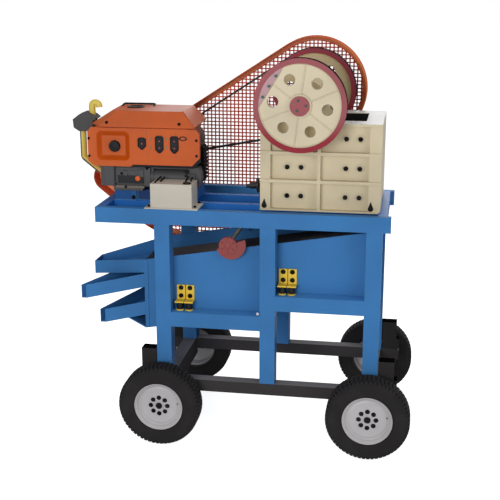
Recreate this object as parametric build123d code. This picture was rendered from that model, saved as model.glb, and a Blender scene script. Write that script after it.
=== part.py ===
from build123d import *
import math
import os

# Millimetres. X to the right in the front view, Y away from the viewer, Z up.
# Sizes below are measured along X from the deck's middle, and heights from a level AXLE_Z below
# the axles. The parts are then moved along X and Z so that the origin is on the floor under the
# middle of the whole machine.

HALF_W = 426.0            # outer faces of the stand and the trolley rails
TUBE = 100.0              # square tube of the stand legs

AXLE_Z = 260.0
WHEEL_R = 270.0
WHEEL_W = 145.0
WHEEL_GAP = 54.0          # between a rail and its tyres
WHEEL_OUT = HALF_W + WHEEL_GAP + WHEEL_W
LIP_R = 160.0
RIM_SEAT_R = 150.0
SPINDLE_R = 22.0
RUN_FIT = 0.05            # radial play of a running shaft
CHASSIS_X = 178.0         # middle of the trolley
AXLE_DX = 679.0

RAIL_TOP = 388.0
RAIL_H = 80.0
RAIL_W = 80.0
POST_TOP = 590.0
POST_X0, POST_X1 = 733.0, 834.0
STEP_W, STEP_TOP = 20.0, 465.0

DECK_TOP = 1540.0
CHANNEL_H = 100.0
CHANNEL_D = 50.0
CHANNEL_T = 8.0
DECK_X0, DECK_X1 = -941.0, 957.0
INNER_FRONT_Y, INNER_REAR_Y = -198.0, 72.0
MID_LEG_X = 187.0
LOW_BEAM_TOP, HIGH_BEAM_TOP = 852.0, 994.0

SHAFT_X, SHAFT_Z = 386.0, 2221.0
FLY_R = 285.0
FLY_W = 80.0
FLY_IN = 398.0            # inner face of each flywheel from the middle
SHAFT_R = 45.0
HOLE_R, HOLE_PCD_R = 34.5, 168.0
HOLE_START = 52.5

BODY_X0, BODY_X1 = 123.0, 884.0
BODY_TOP = 2100.0
BODY_HALF = 334.0
POCKET_D = 42.0           # depth of the pockets between the outside ribs
POST_STEP = 8.0           # the corner posts stand this far behind the ribs
WALL_IN = 186.0
MOUTH_X0, MOUTH_X1 = 165.0, 776.0

PULLEY_X, PULLEY_Z = -499.0, 1867.0
BELT_Y = 442.0
BELT_W = 34.0
BELT_T = 13.0
BELT_IN_BIG, BELT_IN_SMALL = 275.0, 91.0
GROOVE_GAP = 6.0

GUARD_D = 134.0
GUARD_Y1 = HALF_W + GUARD_D

SCREEN_X0, SCREEN_X1 = -652.0, 850.0
SCREEN_GAP = 6.0          # between the stand's legs and the screen box
SCREEN_HALF = HALF_W - TUBE - SCREEN_GAP
PLATE = 8.0
SCREEN_TOP0 = 1171.0      # top edge of the side wall at its left end
SCREEN_SLOPE = 0.166
MESH_DROP = 95.0
EXC_X = -79.0

OUT = {}


def top_at(x):
    return SCREEN_TOP0 + SCREEN_SLOPE * (x - SCREEN_X0)


EXC_Z = top_at(EXC_X) + 36


def slab(x0, x1, y0, y1, z0, z1):
    size = (x1 - x0, y1 - y0, z1 - z0)
    return Pos((x0 + x1) / 2, (y0 + y1) / 2, (z0 + z1) / 2) * Box(*size)


def prism(points, y0, y1):
    side = Plane(origin=(0, y1, 0), x_dir=(1, 0, 0), z_dir=(0, -1, 0))
    face = make_face(Polyline(*points, close=True))
    return extrude(side * face, amount=y1 - y0)


def plan(points, z0, z1):
    face = make_face(Polyline(*points, close=True))
    return extrude(Pos(0, 0, z0) * face, amount=z1 - z0)


def drum(x, z, r, y0, y1):
    return Pos(x, (y0 + y1) / 2, z) * Rot(90, 0, 0) * Cylinder(r, y1 - y0)


def turned(profile, x, z):
    # profile points are (radius, y); the part turns about Y through (x, z)
    face = make_face(Polyline(*profile, close=True))
    return Pos(x, 0, z) * revolve(face, Axis.Y)


def mirrored(shape):
    return mirror(shape, Plane.XZ)


def channel(x0, x1, y_web, depth_dir):
    # U channel along X with its web at y_web and its flanges toward depth_dir
    y_far = y_web + depth_dir * CHANNEL_D
    y_skin = y_web + depth_dir * CHANNEL_T
    z0 = DECK_TOP - CHANNEL_H
    outer = slab(x0, x1, min(y_web, y_far), max(y_web, y_far), z0, DECK_TOP)
    gap = slab(x0, x1, min(y_skin, y_far), max(y_skin, y_far), z0 + CHANNEL_T, DECK_TOP - CHANNEL_T)
    return outer - gap


def keep(name, shape):
    OUT[name] = shape


# trolley
def rail(sign):
    x0, x1 = CHASSIS_X - POST_X1, CHASSIS_X + POST_X1
    y0, y1 = sorted((sign * HALF_W, sign * (HALF_W - RAIL_W)))
    body = slab(x0, x1, y0, y1, RAIL_TOP - RAIL_H, RAIL_TOP)
    for side in (-1, 1):
        a, b = sorted((CHASSIS_X + side * POST_X0, CHASSIS_X + side * POST_X1))
        body += slab(a, b, y0, y1, RAIL_TOP, POST_TOP)
    return body + slab(x1, x1 + STEP_W, y0, y1, RAIL_TOP - RAIL_H, STEP_TOP)


keep("trolley_rail_front", rail(-1))
keep("trolley_rail_rear", rail(1))
for label, side in (("left", -1), ("right", 1)):
    cx = CHASSIS_X + side * AXLE_DX
    half = HALF_W - RAIL_W
    keep("cross_member_" + label, slab(cx - 45, cx + 45, -half, half, RAIL_TOP - RAIL_H, RAIL_TOP))
    beam_end = HALF_W + 29
    beam = slab(cx - 30, cx + 30, -beam_end, beam_end, AXLE_Z - 30, AXLE_Z + 30)
    for s in (-1, 1):
        y0, y1 = sorted((s * HALF_W, s * (HALF_W - RAIL_W)))
        beam += slab(cx - 40, cx + 40, y0, y1, AXLE_Z + 30, RAIL_TOP - RAIL_H)
        y0, y1 = sorted((s * (beam_end - 15), s * (WHEEL_OUT - 22)))
        beam += drum(cx, AXLE_Z, SPINDLE_R, y0, y1)
    keep("axle_" + label, beam)


def tyre(y_out, sign):
    # rounded tread and side walls, open in the middle for the rim
    w = WHEEL_W
    side = [(RIM_SEAT_R + 5, 16), (LIP_R + 3, 5), (LIP_R + 35, 0), (WHEEL_R - 22, 2), (WHEEL_R - 7, 8),
            (WHEEL_R, 20)]
    pts = side + [(r, w - y) for r, y in reversed(side)]
    return [(r, y_out - sign * y) for r, y in pts]


def rim(y_out, sign):
    w = WHEEL_W
    seat = RIM_SEAT_R + 4.7
    pts = [(SPINDLE_R + RUN_FIT, 24), (32, 22), (36, 27), (84, 30), (118, 27), (130, 32), (138, 27), (144, 15),
           (150, 10), (156, 3), (LIP_R, 3), (LIP_R, 6), (157, 9), (153, 14), (seat, 18), (seat, w - 18),
           (153, w - 14), (157, w - 9), (LIP_R, w - 6), (LIP_R, w - 3), (156, w - 3), (148, w - 12),
           (142, w - 20), (142, 48), (118, 44), (SPINDLE_R + 18, 46), (SPINDLE_R + 18, 100),
           (SPINDLE_R + RUN_FIT, 100)]
    return [(r, y_out - sign * y) for r, y in pts]


LUG_R, LUG_PCD_R = 11.0, 55.0


for end, sign in (("front", -1), ("rear", 1)):
    for label, side in (("left", -1), ("right", 1)):
        cx = CHASSIS_X + side * AXLE_DX
        keep(f"tyre_{end}_{label}", turned(tyre(sign * WHEEL_OUT, sign), cx, AXLE_Z))
        disc = turned(rim(sign * WHEEL_OUT, sign), cx, AXLE_Z)
        for k in range(8):
            a = math.radians(45 * k)
            hx, hz = cx + LUG_PCD_R * math.cos(a), AXLE_Z + LUG_PCD_R * math.sin(a)
            disc -= drum(hx, hz, LUG_R, *sorted((sign * WHEEL_OUT, sign * (WHEEL_OUT - 70))))
        keep(f"rim_{end}_{label}", disc)


# stands
def stand(sign):
    y0, y1 = sorted((sign * HALF_W, sign * (HALF_W - TUBE)))
    z1 = DECK_TOP - CHANNEL_H
    xs = [CHASSIS_X - AXLE_DX, MID_LEG_X, CHASSIS_X + AXLE_DX]
    body = slab(xs[0] - TUBE / 2, xs[0] + TUBE / 2, y0, y1, RAIL_TOP, z1)
    for x in xs[1:]:
        body += slab(x - TUBE / 2, x + TUBE / 2, y0, y1, RAIL_TOP, z1)
    body += slab(xs[0] + TUBE / 2, xs[1] - TUBE / 2, y0, y1, LOW_BEAM_TOP - TUBE, LOW_BEAM_TOP)
    body += slab(xs[1] + TUBE / 2, xs[2] - TUBE / 2, y0, y1, HIGH_BEAM_TOP - TUBE, HIGH_BEAM_TOP)
    return body


keep("stand_front", stand(-1))
keep("stand_rear", stand(1))

# deck
keep("deck_beam_front", channel(DECK_X0, DECK_X1, -HALF_W, 1))
keep("deck_beam_rear", channel(DECK_X0, DECK_X1, HALF_W, -1))
END_X = 930.0
inner = channel(DECK_X0 + 60, END_X - 60, INNER_FRONT_Y, 1)
inner += channel(DECK_X0 + 60, END_X - 60, INNER_REAR_Y, 1)
FLANGE_Y = HALF_W - CHANNEL_D
inner += slab(DECK_X0, DECK_X0 + 60, -FLANGE_Y, FLANGE_Y, DECK_TOP - CHANNEL_H, DECK_TOP)
inner += slab(END_X - 60, END_X, -FLANGE_Y, FLANGE_Y, DECK_TOP - CHANNEL_H, DECK_TOP)
SEAT_TOP = DECK_TOP + 74
inner += slab(-870, -722, -206, 122, DECK_TOP, SEAT_TOP)
inner += slab(-722, -330, -190, 122, DECK_TOP, SEAT_TOP)
keep("deck_inner_frame", inner)

# engine
CRANK_Z = SEAT_TOP + 26   # underside of the crankcase
BLOCK_TOP = SEAT_TOP + 161
BLOCK_X0, BLOCK_X1 = -930.0, -374.0
BLOCK_Y0, BLOCK_Y1 = -212.0, 190.0
BASE_TOP = DECK_TOP + 163
BASE_Y0, BASE_D = -HALF_W + 8, 170.0
base = slab(-571, -301, BASE_Y0, BASE_Y0 + BASE_D, DECK_TOP + 8, BASE_TOP)
base += slab(-611, -263, BASE_Y0 - 6, BASE_Y0 + BASE_D + 5, DECK_TOP, DECK_TOP + 8)
keep("engine_base_box", base)
block = slab(BLOCK_X0, BLOCK_X1, BLOCK_Y0, BLOCK_Y1, CRANK_Z, BLOCK_TOP)
block += plan([(BLOCK_X0 - 35, BLOCK_Y0 + 32), (BLOCK_X0, BLOCK_Y0), (BLOCK_X0, BLOCK_Y1),
               (BLOCK_X0 - 35, BLOCK_Y1 - 30)], CRANK_Z, BLOCK_TOP)
snout = [(BLOCK_X1, CRANK_Z), (-304, CRANK_Z), (-288, CRANK_Z + 16), (-281, CRANK_Z + 55), (-284, CRANK_Z + 100),
         (-296, BLOCK_TOP), (BLOCK_X1, BLOCK_TOP)]
block += prism(snout, BLOCK_Y0, -138)
block += slab(-868, -670, BLOCK_Y0 - 18, 120, SEAT_TOP, CRANK_Z)
# along the front: a bare cylinder with a collar at each end, a ribbed cover and a cast corner block
CYL_R, CYL_X0, CYL_X1 = 52.0, -600.0, -330.0
block -= slab(CYL_X0, BLOCK_X1, BLOCK_Y0 - 1, BLOCK_Y0 + 45, CRANK_Z - 1, BLOCK_TOP - 12)
cyl_mid = (CYL_X0 + CYL_X1) / 2
CYL_Y, CYL_Z = BLOCK_Y0 + 38, CRANK_Z + 61
block += Pos(cyl_mid, CYL_Y, CYL_Z) * Rot(0, 90, 0) * Cylinder(CYL_R, CYL_X1 - CYL_X0)
for x, r in ((CYL_X0 - 14, CYL_R + 4), (CYL_X1 - 5, CYL_R + 2)):
    block += Pos(x, CYL_Y, CYL_Z) * Rot(0, 90, 0) * Cylinder(r, 30)
block += slab(-855, -655, BLOCK_Y0 - 8, BLOCK_Y0, CRANK_Z + 20, CRANK_Z + 122)
block += slab(-957, -866, BLOCK_Y0 - 6, BLOCK_Y0 + 60, CRANK_Z, BLOCK_TOP)
block += slab(-560, -380, -180, 120, SEAT_TOP, CRANK_Z)
keep("engine_block", block)

# orange housing: front panel, narrower body behind it and an overhanging lid with sloping sides
HOUSE_TOP = BLOCK_TOP + 253
PANEL_X0, PANEL_X1 = -1032.0, -284.0
PANEL_Y, PANEL_T = -240.0, 26.0
HOUSE_Y1 = 200.0
CASE_X0, CASE_X1 = PANEL_X0 + 45, BLOCK_X1
front = [(PANEL_X0 + 40, BLOCK_TOP), (PANEL_X1 - 40, BLOCK_TOP), (PANEL_X1, BLOCK_TOP + 37),
         (PANEL_X1, HOUSE_TOP - 32), (PANEL_X1 - 34, HOUSE_TOP), (PANEL_X0 + 24, HOUSE_TOP),
         (PANEL_X0, HOUSE_TOP - 30), (PANEL_X0, BLOCK_TOP + 33)]
house = prism(front, PANEL_Y, PANEL_Y + PANEL_T)
house += slab(CASE_X0, CASE_X1, PANEL_Y + PANEL_T, HOUSE_Y1, BLOCK_TOP, HOUSE_TOP)
RECESS = Pos(-860, PANEL_Y, HOUSE_TOP - 118)
recess = loft([RECESS * Rot(90, 0, 0) * Pos(0, 0, 1) * RectangleRounded(220, 190, 30),
               RECESS * Rot(90, 0, 0) * Pos(0, 0, -16) * RectangleRounded(160, 130, 18)])
house -= recess
LID_GAP, LID_LIP, LID_H = 6.0, 9.0, 88.0
lid_z = HOUSE_TOP + LID_GAP + LID_LIP
house += slab(CASE_X0 + 10, CASE_X1, PANEL_Y + 14, HOUSE_Y1, HOUSE_TOP, HOUSE_TOP + LID_GAP)
skirt = [(-946, PANEL_Y - 7), (-325, PANEL_Y - 7), (-314, PANEL_Y + 6), (-330, HOUSE_Y1 + 5), (-1026, HOUSE_Y1 + 5),
         (-1026, -134)]
house += plan(skirt, HOUSE_TOP + LID_GAP, lid_z)
crown = [(-848, -170), (-420, -170), (-407, -152), (-414, 185), (-905, 185), (-886, -118)]
house += loft([Pos(0, 0, lid_z) * make_face(Polyline(*skirt, close=True)),
               Pos(0, 0, lid_z + LID_H) * make_face(Polyline(*crown, close=True))])
house -= drum(PULLEY_X, PULLEY_Z, 25 + RUN_FIT, 160, HOUSE_Y1 + 1)
keep("engine_housing", house)

# upright cover at the engine's end, on a neck that reaches the crankcase and the housing
COVER_X0, COVER_X1 = -316.0, -286.0
COVER_Z0, COVER_Z1 = CRANK_Z + 28, BLOCK_TOP + 128
cover = slab(COVER_X0, COVER_X1, -130, -20, COVER_Z0, COVER_Z1)
cover += slab(BLOCK_X1, COVER_X0, -118, -32, BLOCK_TOP - 80, BLOCK_TOP + 95)
FIN_PITCH = 25.0
for k in range(int((COVER_Z1 - COVER_Z0) // FIN_PITCH)):
    z = COVER_Z0 + FIN_PITCH * (k + 0.75)
    cover += slab(COVER_X1, COVER_X1 + 9, -130, -20, z - 7, z + 7)
keep("engine_end_cover", cover)

PIPE_R = 22.0
PIPE_Y = -60.0
BEND_R = PIPE_R + 2
PIPE_START_GAP = 0.2
bends = [(BLOCK_X0 - 35 - PIPE_START_GAP, 1712), (-1012, 1712), (-1120, 1800), (-1120, 2042), (-1050, 2042),
         (-1050, 2166), (-1004, 2166), (-1000, 2136)]
route = FilletPolyline(*[(x, PIPE_Y, z) for x, z in bends], radius=BEND_R)
start = Plane(origin=route @ 0, z_dir=route % 0)
pipe = sweep(start * Circle(PIPE_R), path=route)
keep("exhaust_pipe", pipe)
silencer = [(-1171, 2058), (-1129, 2090), (-1103, 2105), (-1067, 2105), (-1031, 2087), (-1008, 2068),
            (-1034, 2050), (-1034, 1984), (-1129, 1980), (-1166, 2003)]
muffler = prism(silencer, PIPE_Y - 55, PIPE_Y + 55)
clear = sweep(start * Circle(PIPE_R + 0.3), path=route)
keep("exhaust_silencer", muffler - clear)

# crusher body with pockets between its outside ribs
RIB_T = 20.0
ROW_Z = [DECK_TOP + 10, DECK_TOP + 200, DECK_TOP + 379]
ROW_TOP = [ROW_Z[1] - RIB_T, ROW_Z[2] - RIB_T, BODY_TOP - 16]
POCKET_X = ((189, 486), (505, 806))
body = slab(BODY_X0, BODY_X1, -BODY_HALF, BODY_HALF, DECK_TOP, BODY_TOP)
body = fillet(body.edges().filter_by(Axis.Y).group_by(Axis.Z)[0].sort_by(Axis.X)[-1:], 24)
for z0, z1 in zip(ROW_Z, ROW_TOP):
    for xa, xb in POCKET_X:
        pocket = slab(xa, xb, -BODY_HALF - 1, -BODY_HALF + POCKET_D, z0, z1)
        pocket = fillet(pocket.edges().filter_by(Axis.Y), 8)
        body -= pocket
        body -= mirrored(pocket)
    for xa, xb in ((BODY_X0 - 1, POCKET_X[0][0]), (POCKET_X[1][1], BODY_X1 + 1)):
        step = slab(xa, xb, -BODY_HALF - 1, -BODY_HALF + POST_STEP, z0, z1)
        body -= step
        body -= mirrored(step)
body -= slab(MOUTH_X0, MOUTH_X1, -WALL_IN, WALL_IN, DECK_TOP - 1, BODY_TOP + 1)
body -= slab(BODY_X0 - 1, MOUTH_X0 + 1, -120, 120, 1560, 1980)
for s in (-1, 1):
    ya, yb = sorted((s * (WALL_IN + 10), s * (BODY_HALF - 30)))
    seat = slab(SHAFT_X - 120, SHAFT_X + 120, ya, yb, BODY_TOP, BODY_TOP + 40)
    seat += prism([(SHAFT_X - 105, BODY_TOP + 40), (SHAFT_X + 105, BODY_TOP + 40), (SHAFT_X + 92, SHAFT_Z),
                   (SHAFT_X - 92, SHAFT_Z)], ya, yb)
    seat += drum(SHAFT_X, SHAFT_Z, 92, ya, yb)
    body += seat
body -= drum(SHAFT_X, SHAFT_Z, SHAFT_R + RUN_FIT, -BODY_HALF, BODY_HALF)
keep("crusher_body", body)

# jaws: fixed plate with upright teeth on the right, swing jaw hung from the shaft
TOOTH = 30.0
JAW_HALF = 174.0


def toothed(x_face, depth, sign):
    pts = [(x_face, -JAW_HALF)]
    y = -JAW_HALF
    n = int(2 * JAW_HALF // TOOTH)
    step = 2 * JAW_HALF / n
    for _ in range(n):
        pts.append((x_face - sign * 12, y + step / 2))
        pts.append((x_face, y + step))
        y += step
    pts += [(x_face + sign * depth, JAW_HALF), (x_face + sign * depth, -JAW_HALF)]
    return pts


keep("fixed_jaw", plan(toothed(744.0, 32.0, 1), 1600, 2040))
head_r = 128.0
swing = drum(SHAFT_X, SHAFT_Z, head_r, -JAW_HALF, JAW_HALF)
JAW_TOP, JAW_FOOT = (566.0, SHAFT_Z - 161), (672.0, SHAFT_Z - 581)
swing += prism([(SHAFT_X - 60, SHAFT_Z - 111), (SHAFT_X + 110, SHAFT_Z - 61), JAW_TOP, JAW_FOOT,
                (560, JAW_FOOT[1] - 40), (SHAFT_X - 56, SHAFT_Z - 211)], -JAW_HALF, JAW_HALF)
tilt = math.degrees(math.atan2(JAW_FOOT[0] - JAW_TOP[0], JAW_TOP[1] - JAW_FOOT[1]))
plate = plan(toothed(0.0, 34.0, -1), 0, 430)
plate = Pos(JAW_FOOT[0] + 34, 0, JAW_FOOT[1]) * Rot(0, -tilt, 0) * plate
swing += plate
swing -= drum(SHAFT_X, SHAFT_Z, SHAFT_R + RUN_FIT, -JAW_HALF - 1, JAW_HALF + 1)
rod = Pos(286, 0, 1650) * Rot(0, 85, 0) * Cylinder(13, 610)
swing += rod
swing += Pos(60, 0, 1631) * Rot(0, 85, 0) * Cylinder(48, 12)
swing += Pos(28, 0, 1628) * Rot(0, 85, 0) * Cylinder(22, 40)
keep("swing_jaw", swing)


# flywheels, shaft and the belt drive
def flywheel(sign, groove):
    a, b = FLY_IN, FLY_IN + FLY_W
    m = (a + b) / 2
    r_in = FLY_R - 32
    top = [(FLY_R, a), (FLY_R, b)]
    if groove:
        g = BELT_W / 2 + GROOVE_GAP
        top = [(FLY_R, a), (FLY_R, BELT_Y - g), (BELT_IN_BIG - GROOVE_GAP, BELT_Y - g),
               (BELT_IN_BIG - GROOVE_GAP, BELT_Y + g), (FLY_R, BELT_Y + g), (FLY_R, b)]
    prof = [(SHAFT_R, a)] + [(72, a), (72, m - 18), (r_in - 6, m - 18), (r_in, a)] + top
    prof += [(r_in, b), (r_in - 6, b - 14), (72, b - 14), (72, b), (SHAFT_R, b)]
    wheel = turned([(r, sign * y) for r, y in prof], SHAFT_X, SHAFT_Z)
    for k in range(6):
        ang = math.radians(HOLE_START + 60 * k)
        hx, hz = SHAFT_X + HOLE_PCD_R * math.cos(ang), SHAFT_Z + HOLE_PCD_R * math.sin(ang)
        wheel -= drum(hx, hz, HOLE_R, *sorted((sign * (a - 1), sign * (b + 1))))
    for k in range(6):
        rib = Pos(161, 0, 0) * Box(182, 7, 4)
        rib = Pos(SHAFT_X, sign * (b - 12), SHAFT_Z) * Rot(0, -(HOLE_START + 30 + 60 * k), 0) * Rot(90, 0, 0) * rib
        wheel += rib
    if sign < 0:
        a0, a1 = math.radians(113), math.radians(184)
        r = r_in + 1
        arc = [(SHAFT_X + r * math.cos(a0 + (a1 - a0) * i / 16), SHAFT_Z + r * math.sin(a0 + (a1 - a0) * i / 16))
               for i in range(17)]
        wheel += prism(arc, -b + 4, -b + 14)
        wheel += drum(SHAFT_X, SHAFT_Z, 60, -b - 12, -b)
    return wheel


keep("flywheel_front", flywheel(-1, False))
keep("flywheel_rear", flywheel(1, True))
keep("crusher_shaft", drum(SHAFT_X, SHAFT_Z, SHAFT_R, -FLY_IN - FLY_W, FLY_IN + FLY_W + 14))

g = BELT_W / 2 + GROOVE_GAP
r_low, r_high = BELT_IN_SMALL - GROOVE_GAP, BELT_IN_SMALL + 12
prof = [(0, 170), (25, 170), (25, BELT_Y - 34), (r_high, BELT_Y - 34), (r_high, BELT_Y - g), (r_low, BELT_Y - g),
        (r_low, BELT_Y + g), (r_high, BELT_Y + g), (r_high, BELT_Y + 34), (0, BELT_Y + 34)]
keep("engine_pulley", turned(prof, PULLEY_X, PULLEY_Z))


def band(r_big, r_small, y0, y1):
    dx, dz = PULLEY_X - SHAFT_X, PULLEY_Z - SHAFT_Z
    dist = math.hypot(dx, dz)
    along = math.atan2(dz, dx)
    lean = math.acos((r_big - r_small) / dist)
    pts = []
    for x, z, r, s in ((SHAFT_X, SHAFT_Z, r_big, 1), (SHAFT_X, SHAFT_Z, r_big, -1),
                       (PULLEY_X, PULLEY_Z, r_small, -1), (PULLEY_X, PULLEY_Z, r_small, 1)):
        pts.append((x + r * math.cos(along + s * lean), z + r * math.sin(along + s * lean)))
    solid = prism(pts, y0, y1)
    solid += drum(SHAFT_X, SHAFT_Z, r_big, y0, y1) + drum(PULLEY_X, PULLEY_Z, r_small, y0, y1)
    return solid


by0, by1 = BELT_Y - BELT_W / 2, BELT_Y + BELT_W / 2
belt = band(BELT_IN_BIG + BELT_T, BELT_IN_SMALL + BELT_T, by0, by1) - band(BELT_IN_BIG, BELT_IN_SMALL, by0, by1)
keep("drive_belt", belt)

# guard round the belt drive
GUARD_C, GUARD_R = (383.0, 2224.0), 360.0
SWEEP_C, SWEEP_R = (-234.0, 2192.5), 1150.0
FOOT_C = (-144.0, 1285.0)
FOOT_R = SWEEP_R - math.dist(SWEEP_C, FOOT_C)     # the two arcs run into each other
TIP_C, TIP_R = (-1117.0, 1563.0), 105.0


def guard_outline(inset):
    def ring(c, r):
        return Pos(c[0], c[1]) * Edge.make_circle(r - inset)
    edges = [ring(GUARD_C, GUARD_R), ring(FOOT_C, FOOT_R), ring(TIP_C, TIP_R)]
    low = math.degrees(math.atan2(FOOT_C[1] - SWEEP_C[1], FOOT_C[0] - SWEEP_C[0]))
    tip = math.degrees(math.atan2(TIP_C[1] - SWEEP_C[1], TIP_C[0] - SWEEP_C[0])) % 360 - 360
    arc = Edge.make_circle(SWEEP_R - inset, Plane.XY, start_angle=tip + 364, end_angle=low + 360)
    edges.append(Pos(SWEEP_C[0], SWEEP_C[1]) * arc)
    return make_hull(edges)


def guard_slice(inset, y0, y1):
    side = Plane(origin=(0, y1, 0), x_dir=(1, 0, 0), z_dir=(0, -1, 0))
    return extrude(side * guard_outline(inset), amount=y1 - y0)


GUARD_OPEN_Y = HALF_W
rim_band = guard_slice(0, GUARD_OPEN_Y, GUARD_Y1) - guard_slice(5, GUARD_OPEN_Y - 1, GUARD_Y1 - 5)
rim_band -= guard_slice(38, GUARD_OPEN_Y - 1, GUARD_Y1 + 1)
keep("guard_rim", rim_band)
BAR = 5.0
PITCH = 108.0
reach = guard_outline(0).bounding_box()
gx0, gx1, gz0, gz1 = reach.min.X, reach.max.X, reach.min.Y, reach.max.Y
lattice = slab(gx0, gx1, GUARD_Y1 - 10, GUARD_Y1 - 5, gz0 + 30, gz0 + 30 + BAR)
for i in range(1, int((gz1 - gz0 - 30) // PITCH) + 1):
    z = gz0 + 30 + PITCH * i
    lattice += slab(gx0, gx1, GUARD_Y1 - 10, GUARD_Y1 - 5, z, z + BAR)
for i in range(int((gx1 - gx0 - 30) // PITCH) + 1):
    x = gx0 + 30 + PITCH * i
    lattice += slab(x, x + BAR, GUARD_Y1 - 10, GUARD_Y1 - 5, gz0, gz1)
edge_ring = guard_slice(5.3, GUARD_Y1 - 10, GUARD_Y1 - 5) - guard_slice(16, GUARD_Y1 - 11, GUARD_Y1 - 4)
lattice = lattice & guard_slice(5.3, GUARD_Y1 - 10, GUARD_Y1 - 5)
keep("guard_mesh", lattice + edge_ring)


# screen box
SCREEN_FOOT_Z = SCREEN_TOP0 - 477
low_line = [(SCREEN_X0, SCREEN_FOOT_Z), (137.0, SCREEN_FOOT_Z + 132), (237.0, SCREEN_FOOT_Z + 178),
            (SCREEN_X1, SCREEN_FOOT_Z + 278)]
wall = [(SCREEN_X0, top_at(SCREEN_X0)), (SCREEN_X1, top_at(SCREEN_X1))] + low_line[::-1]
above = top_at(SCREEN_X1) + 80
room = [(SCREEN_X0 - 1, above), (SCREEN_X1 - PLATE, above)] + [
    (min(x, SCREEN_X1 - PLATE), z + PLATE) for x, z in low_line[:0:-1]] + [(SCREEN_X0 - 1, low_line[0][1] + PLATE)]
box = prism(wall, -SCREEN_HALF, SCREEN_HALF) - prism(room, -SCREEN_HALF + PLATE, SCREEN_HALF - PLATE)
EXC_R = 13.0
HUB_R = 34.0
for s in (-1, 1):
    y0, y1 = sorted((s * (SCREEN_HALF + 6), s * (SCREEN_HALF - 40)))
    box += drum(EXC_X, EXC_Z, HUB_R, y0, y1)
    box += slab(EXC_X - HUB_R, EXC_X + HUB_R, y0, y1, top_at(EXC_X) - 30, EXC_Z)
box -= drum(EXC_X, EXC_Z, EXC_R + RUN_FIT, -SCREEN_HALF - 20, SCREEN_HALF + 20)
keep("screen_box", box)
mesh = prism([(SCREEN_X0, top_at(SCREEN_X0) - MESH_DROP - 12), (SCREEN_X1 - PLATE, top_at(SCREEN_X1) - MESH_DROP - 12),
              (SCREEN_X1 - PLATE, top_at(SCREEN_X1) - MESH_DROP), (SCREEN_X0, top_at(SCREEN_X0) - MESH_DROP)],
             -SCREEN_HALF + PLATE, SCREEN_HALF - PLATE)
keep("screen_mesh_deck", mesh)

WEIGHT_R, WEIGHT_TILT = 98.0, 20.0
weight_x, weight_z = EXC_X + 19, EXC_Z + 9
weight = drum(EXC_X, EXC_Z, EXC_R, -SCREEN_HALF - 24, SCREEN_HALF + 24)
for s in (-1, 1):
    y0, y1 = sorted((s * (SCREEN_HALF + 24), s * (SCREEN_HALF + 56)))
    weight += drum(EXC_X, EXC_Z, 58, y0, y1)
    y0, y1 = sorted((s * (SCREEN_HALF + 28), s * (SCREEN_HALF + 50)))
    half = drum(weight_x, weight_z, WEIGHT_R, y0, y1)
    cut = slab(-WEIGHT_R - 5, WEIGHT_R + 5, y0 - 1, y1 + 1, 0, WEIGHT_R + 5)
    weight += half - Pos(weight_x, 0, weight_z) * Rot(0, -WEIGHT_TILT, 0) * cut
keep("exciter", weight)


# chutes: floor and two walls running together toward the mouth
def chute(near0, near1, far0, far1, h):
    t = 5.0
    ztop0, ztop1 = near0[2], near1[2]
    outline = [(near0[0], near0[1]), (near1[0], near1[1]), (far1[0], far1[1]), (far0[0], far0[1])]
    solid = plan(outline, ztop1 - h - 40, ztop0 + 40)
    xa, xb = near0[0] + 1, min(near1[0], far1[0]) - 60
    slope = (ztop0 - ztop1) / (near0[0] - near1[0])
    zb = ztop0 + slope * (xb - near0[0])
    za = ztop0 + slope * (xa - near0[0])
    far = SCREEN_HALF + 80
    strip = prism([(xb, zb - h), (xa, za - h), (xa, za), (xb, zb)], -far, far)
    solid = solid & strip
    nx0, ny0, nx1, ny1 = near0[0], near0[1], near1[0], near1[1]
    fx0, fy0, fx1, fy1 = far0[0], far0[1], far1[0], far1[1]
    ln, lf = math.hypot(nx1 - nx0, ny1 - ny0), math.hypot(fx1 - fx0, fy1 - fy0)
    inn = (-(ny1 - ny0) / ln, (nx1 - nx0) / ln)
    inn = inn if inn[1] > 0 else (-inn[0], -inn[1])
    inf = (-(fy1 - fy0) / lf, (fx1 - fx0) / lf)
    inf = inf if inf[1] < 0 else (-inf[0], -inf[1])
    un, uf = ((nx1 - nx0) / ln, (ny1 - ny0) / ln), ((fx1 - fx0) / lf, (fy1 - fy0) / lf)
    e = 30
    inner_plan = [(nx0 + t * inn[0] - e * un[0], ny0 + t * inn[1] - e * un[1]),
                  (nx1 + t * inn[0] + e * un[0], ny1 + t * inn[1] + e * un[1]),
                  (fx1 + t * inf[0] + e * uf[0], fy1 + t * inf[1] + e * uf[1]),
                  (fx0 + t * inf[0] - e * uf[0], fy0 + t * inf[1] - e * uf[1])]
    cavity = plan(inner_plan, ztop1 - h - 60, ztop0 + 60)
    lift = prism([(xb - 60, zb - 60 * slope - h + t), (xa + 60, za + 60 * slope - h + t), (xa + 60, za + 200),
                  (xb - 60, zb + 200)], -far, far)
    return solid - (cavity & lift)


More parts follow.
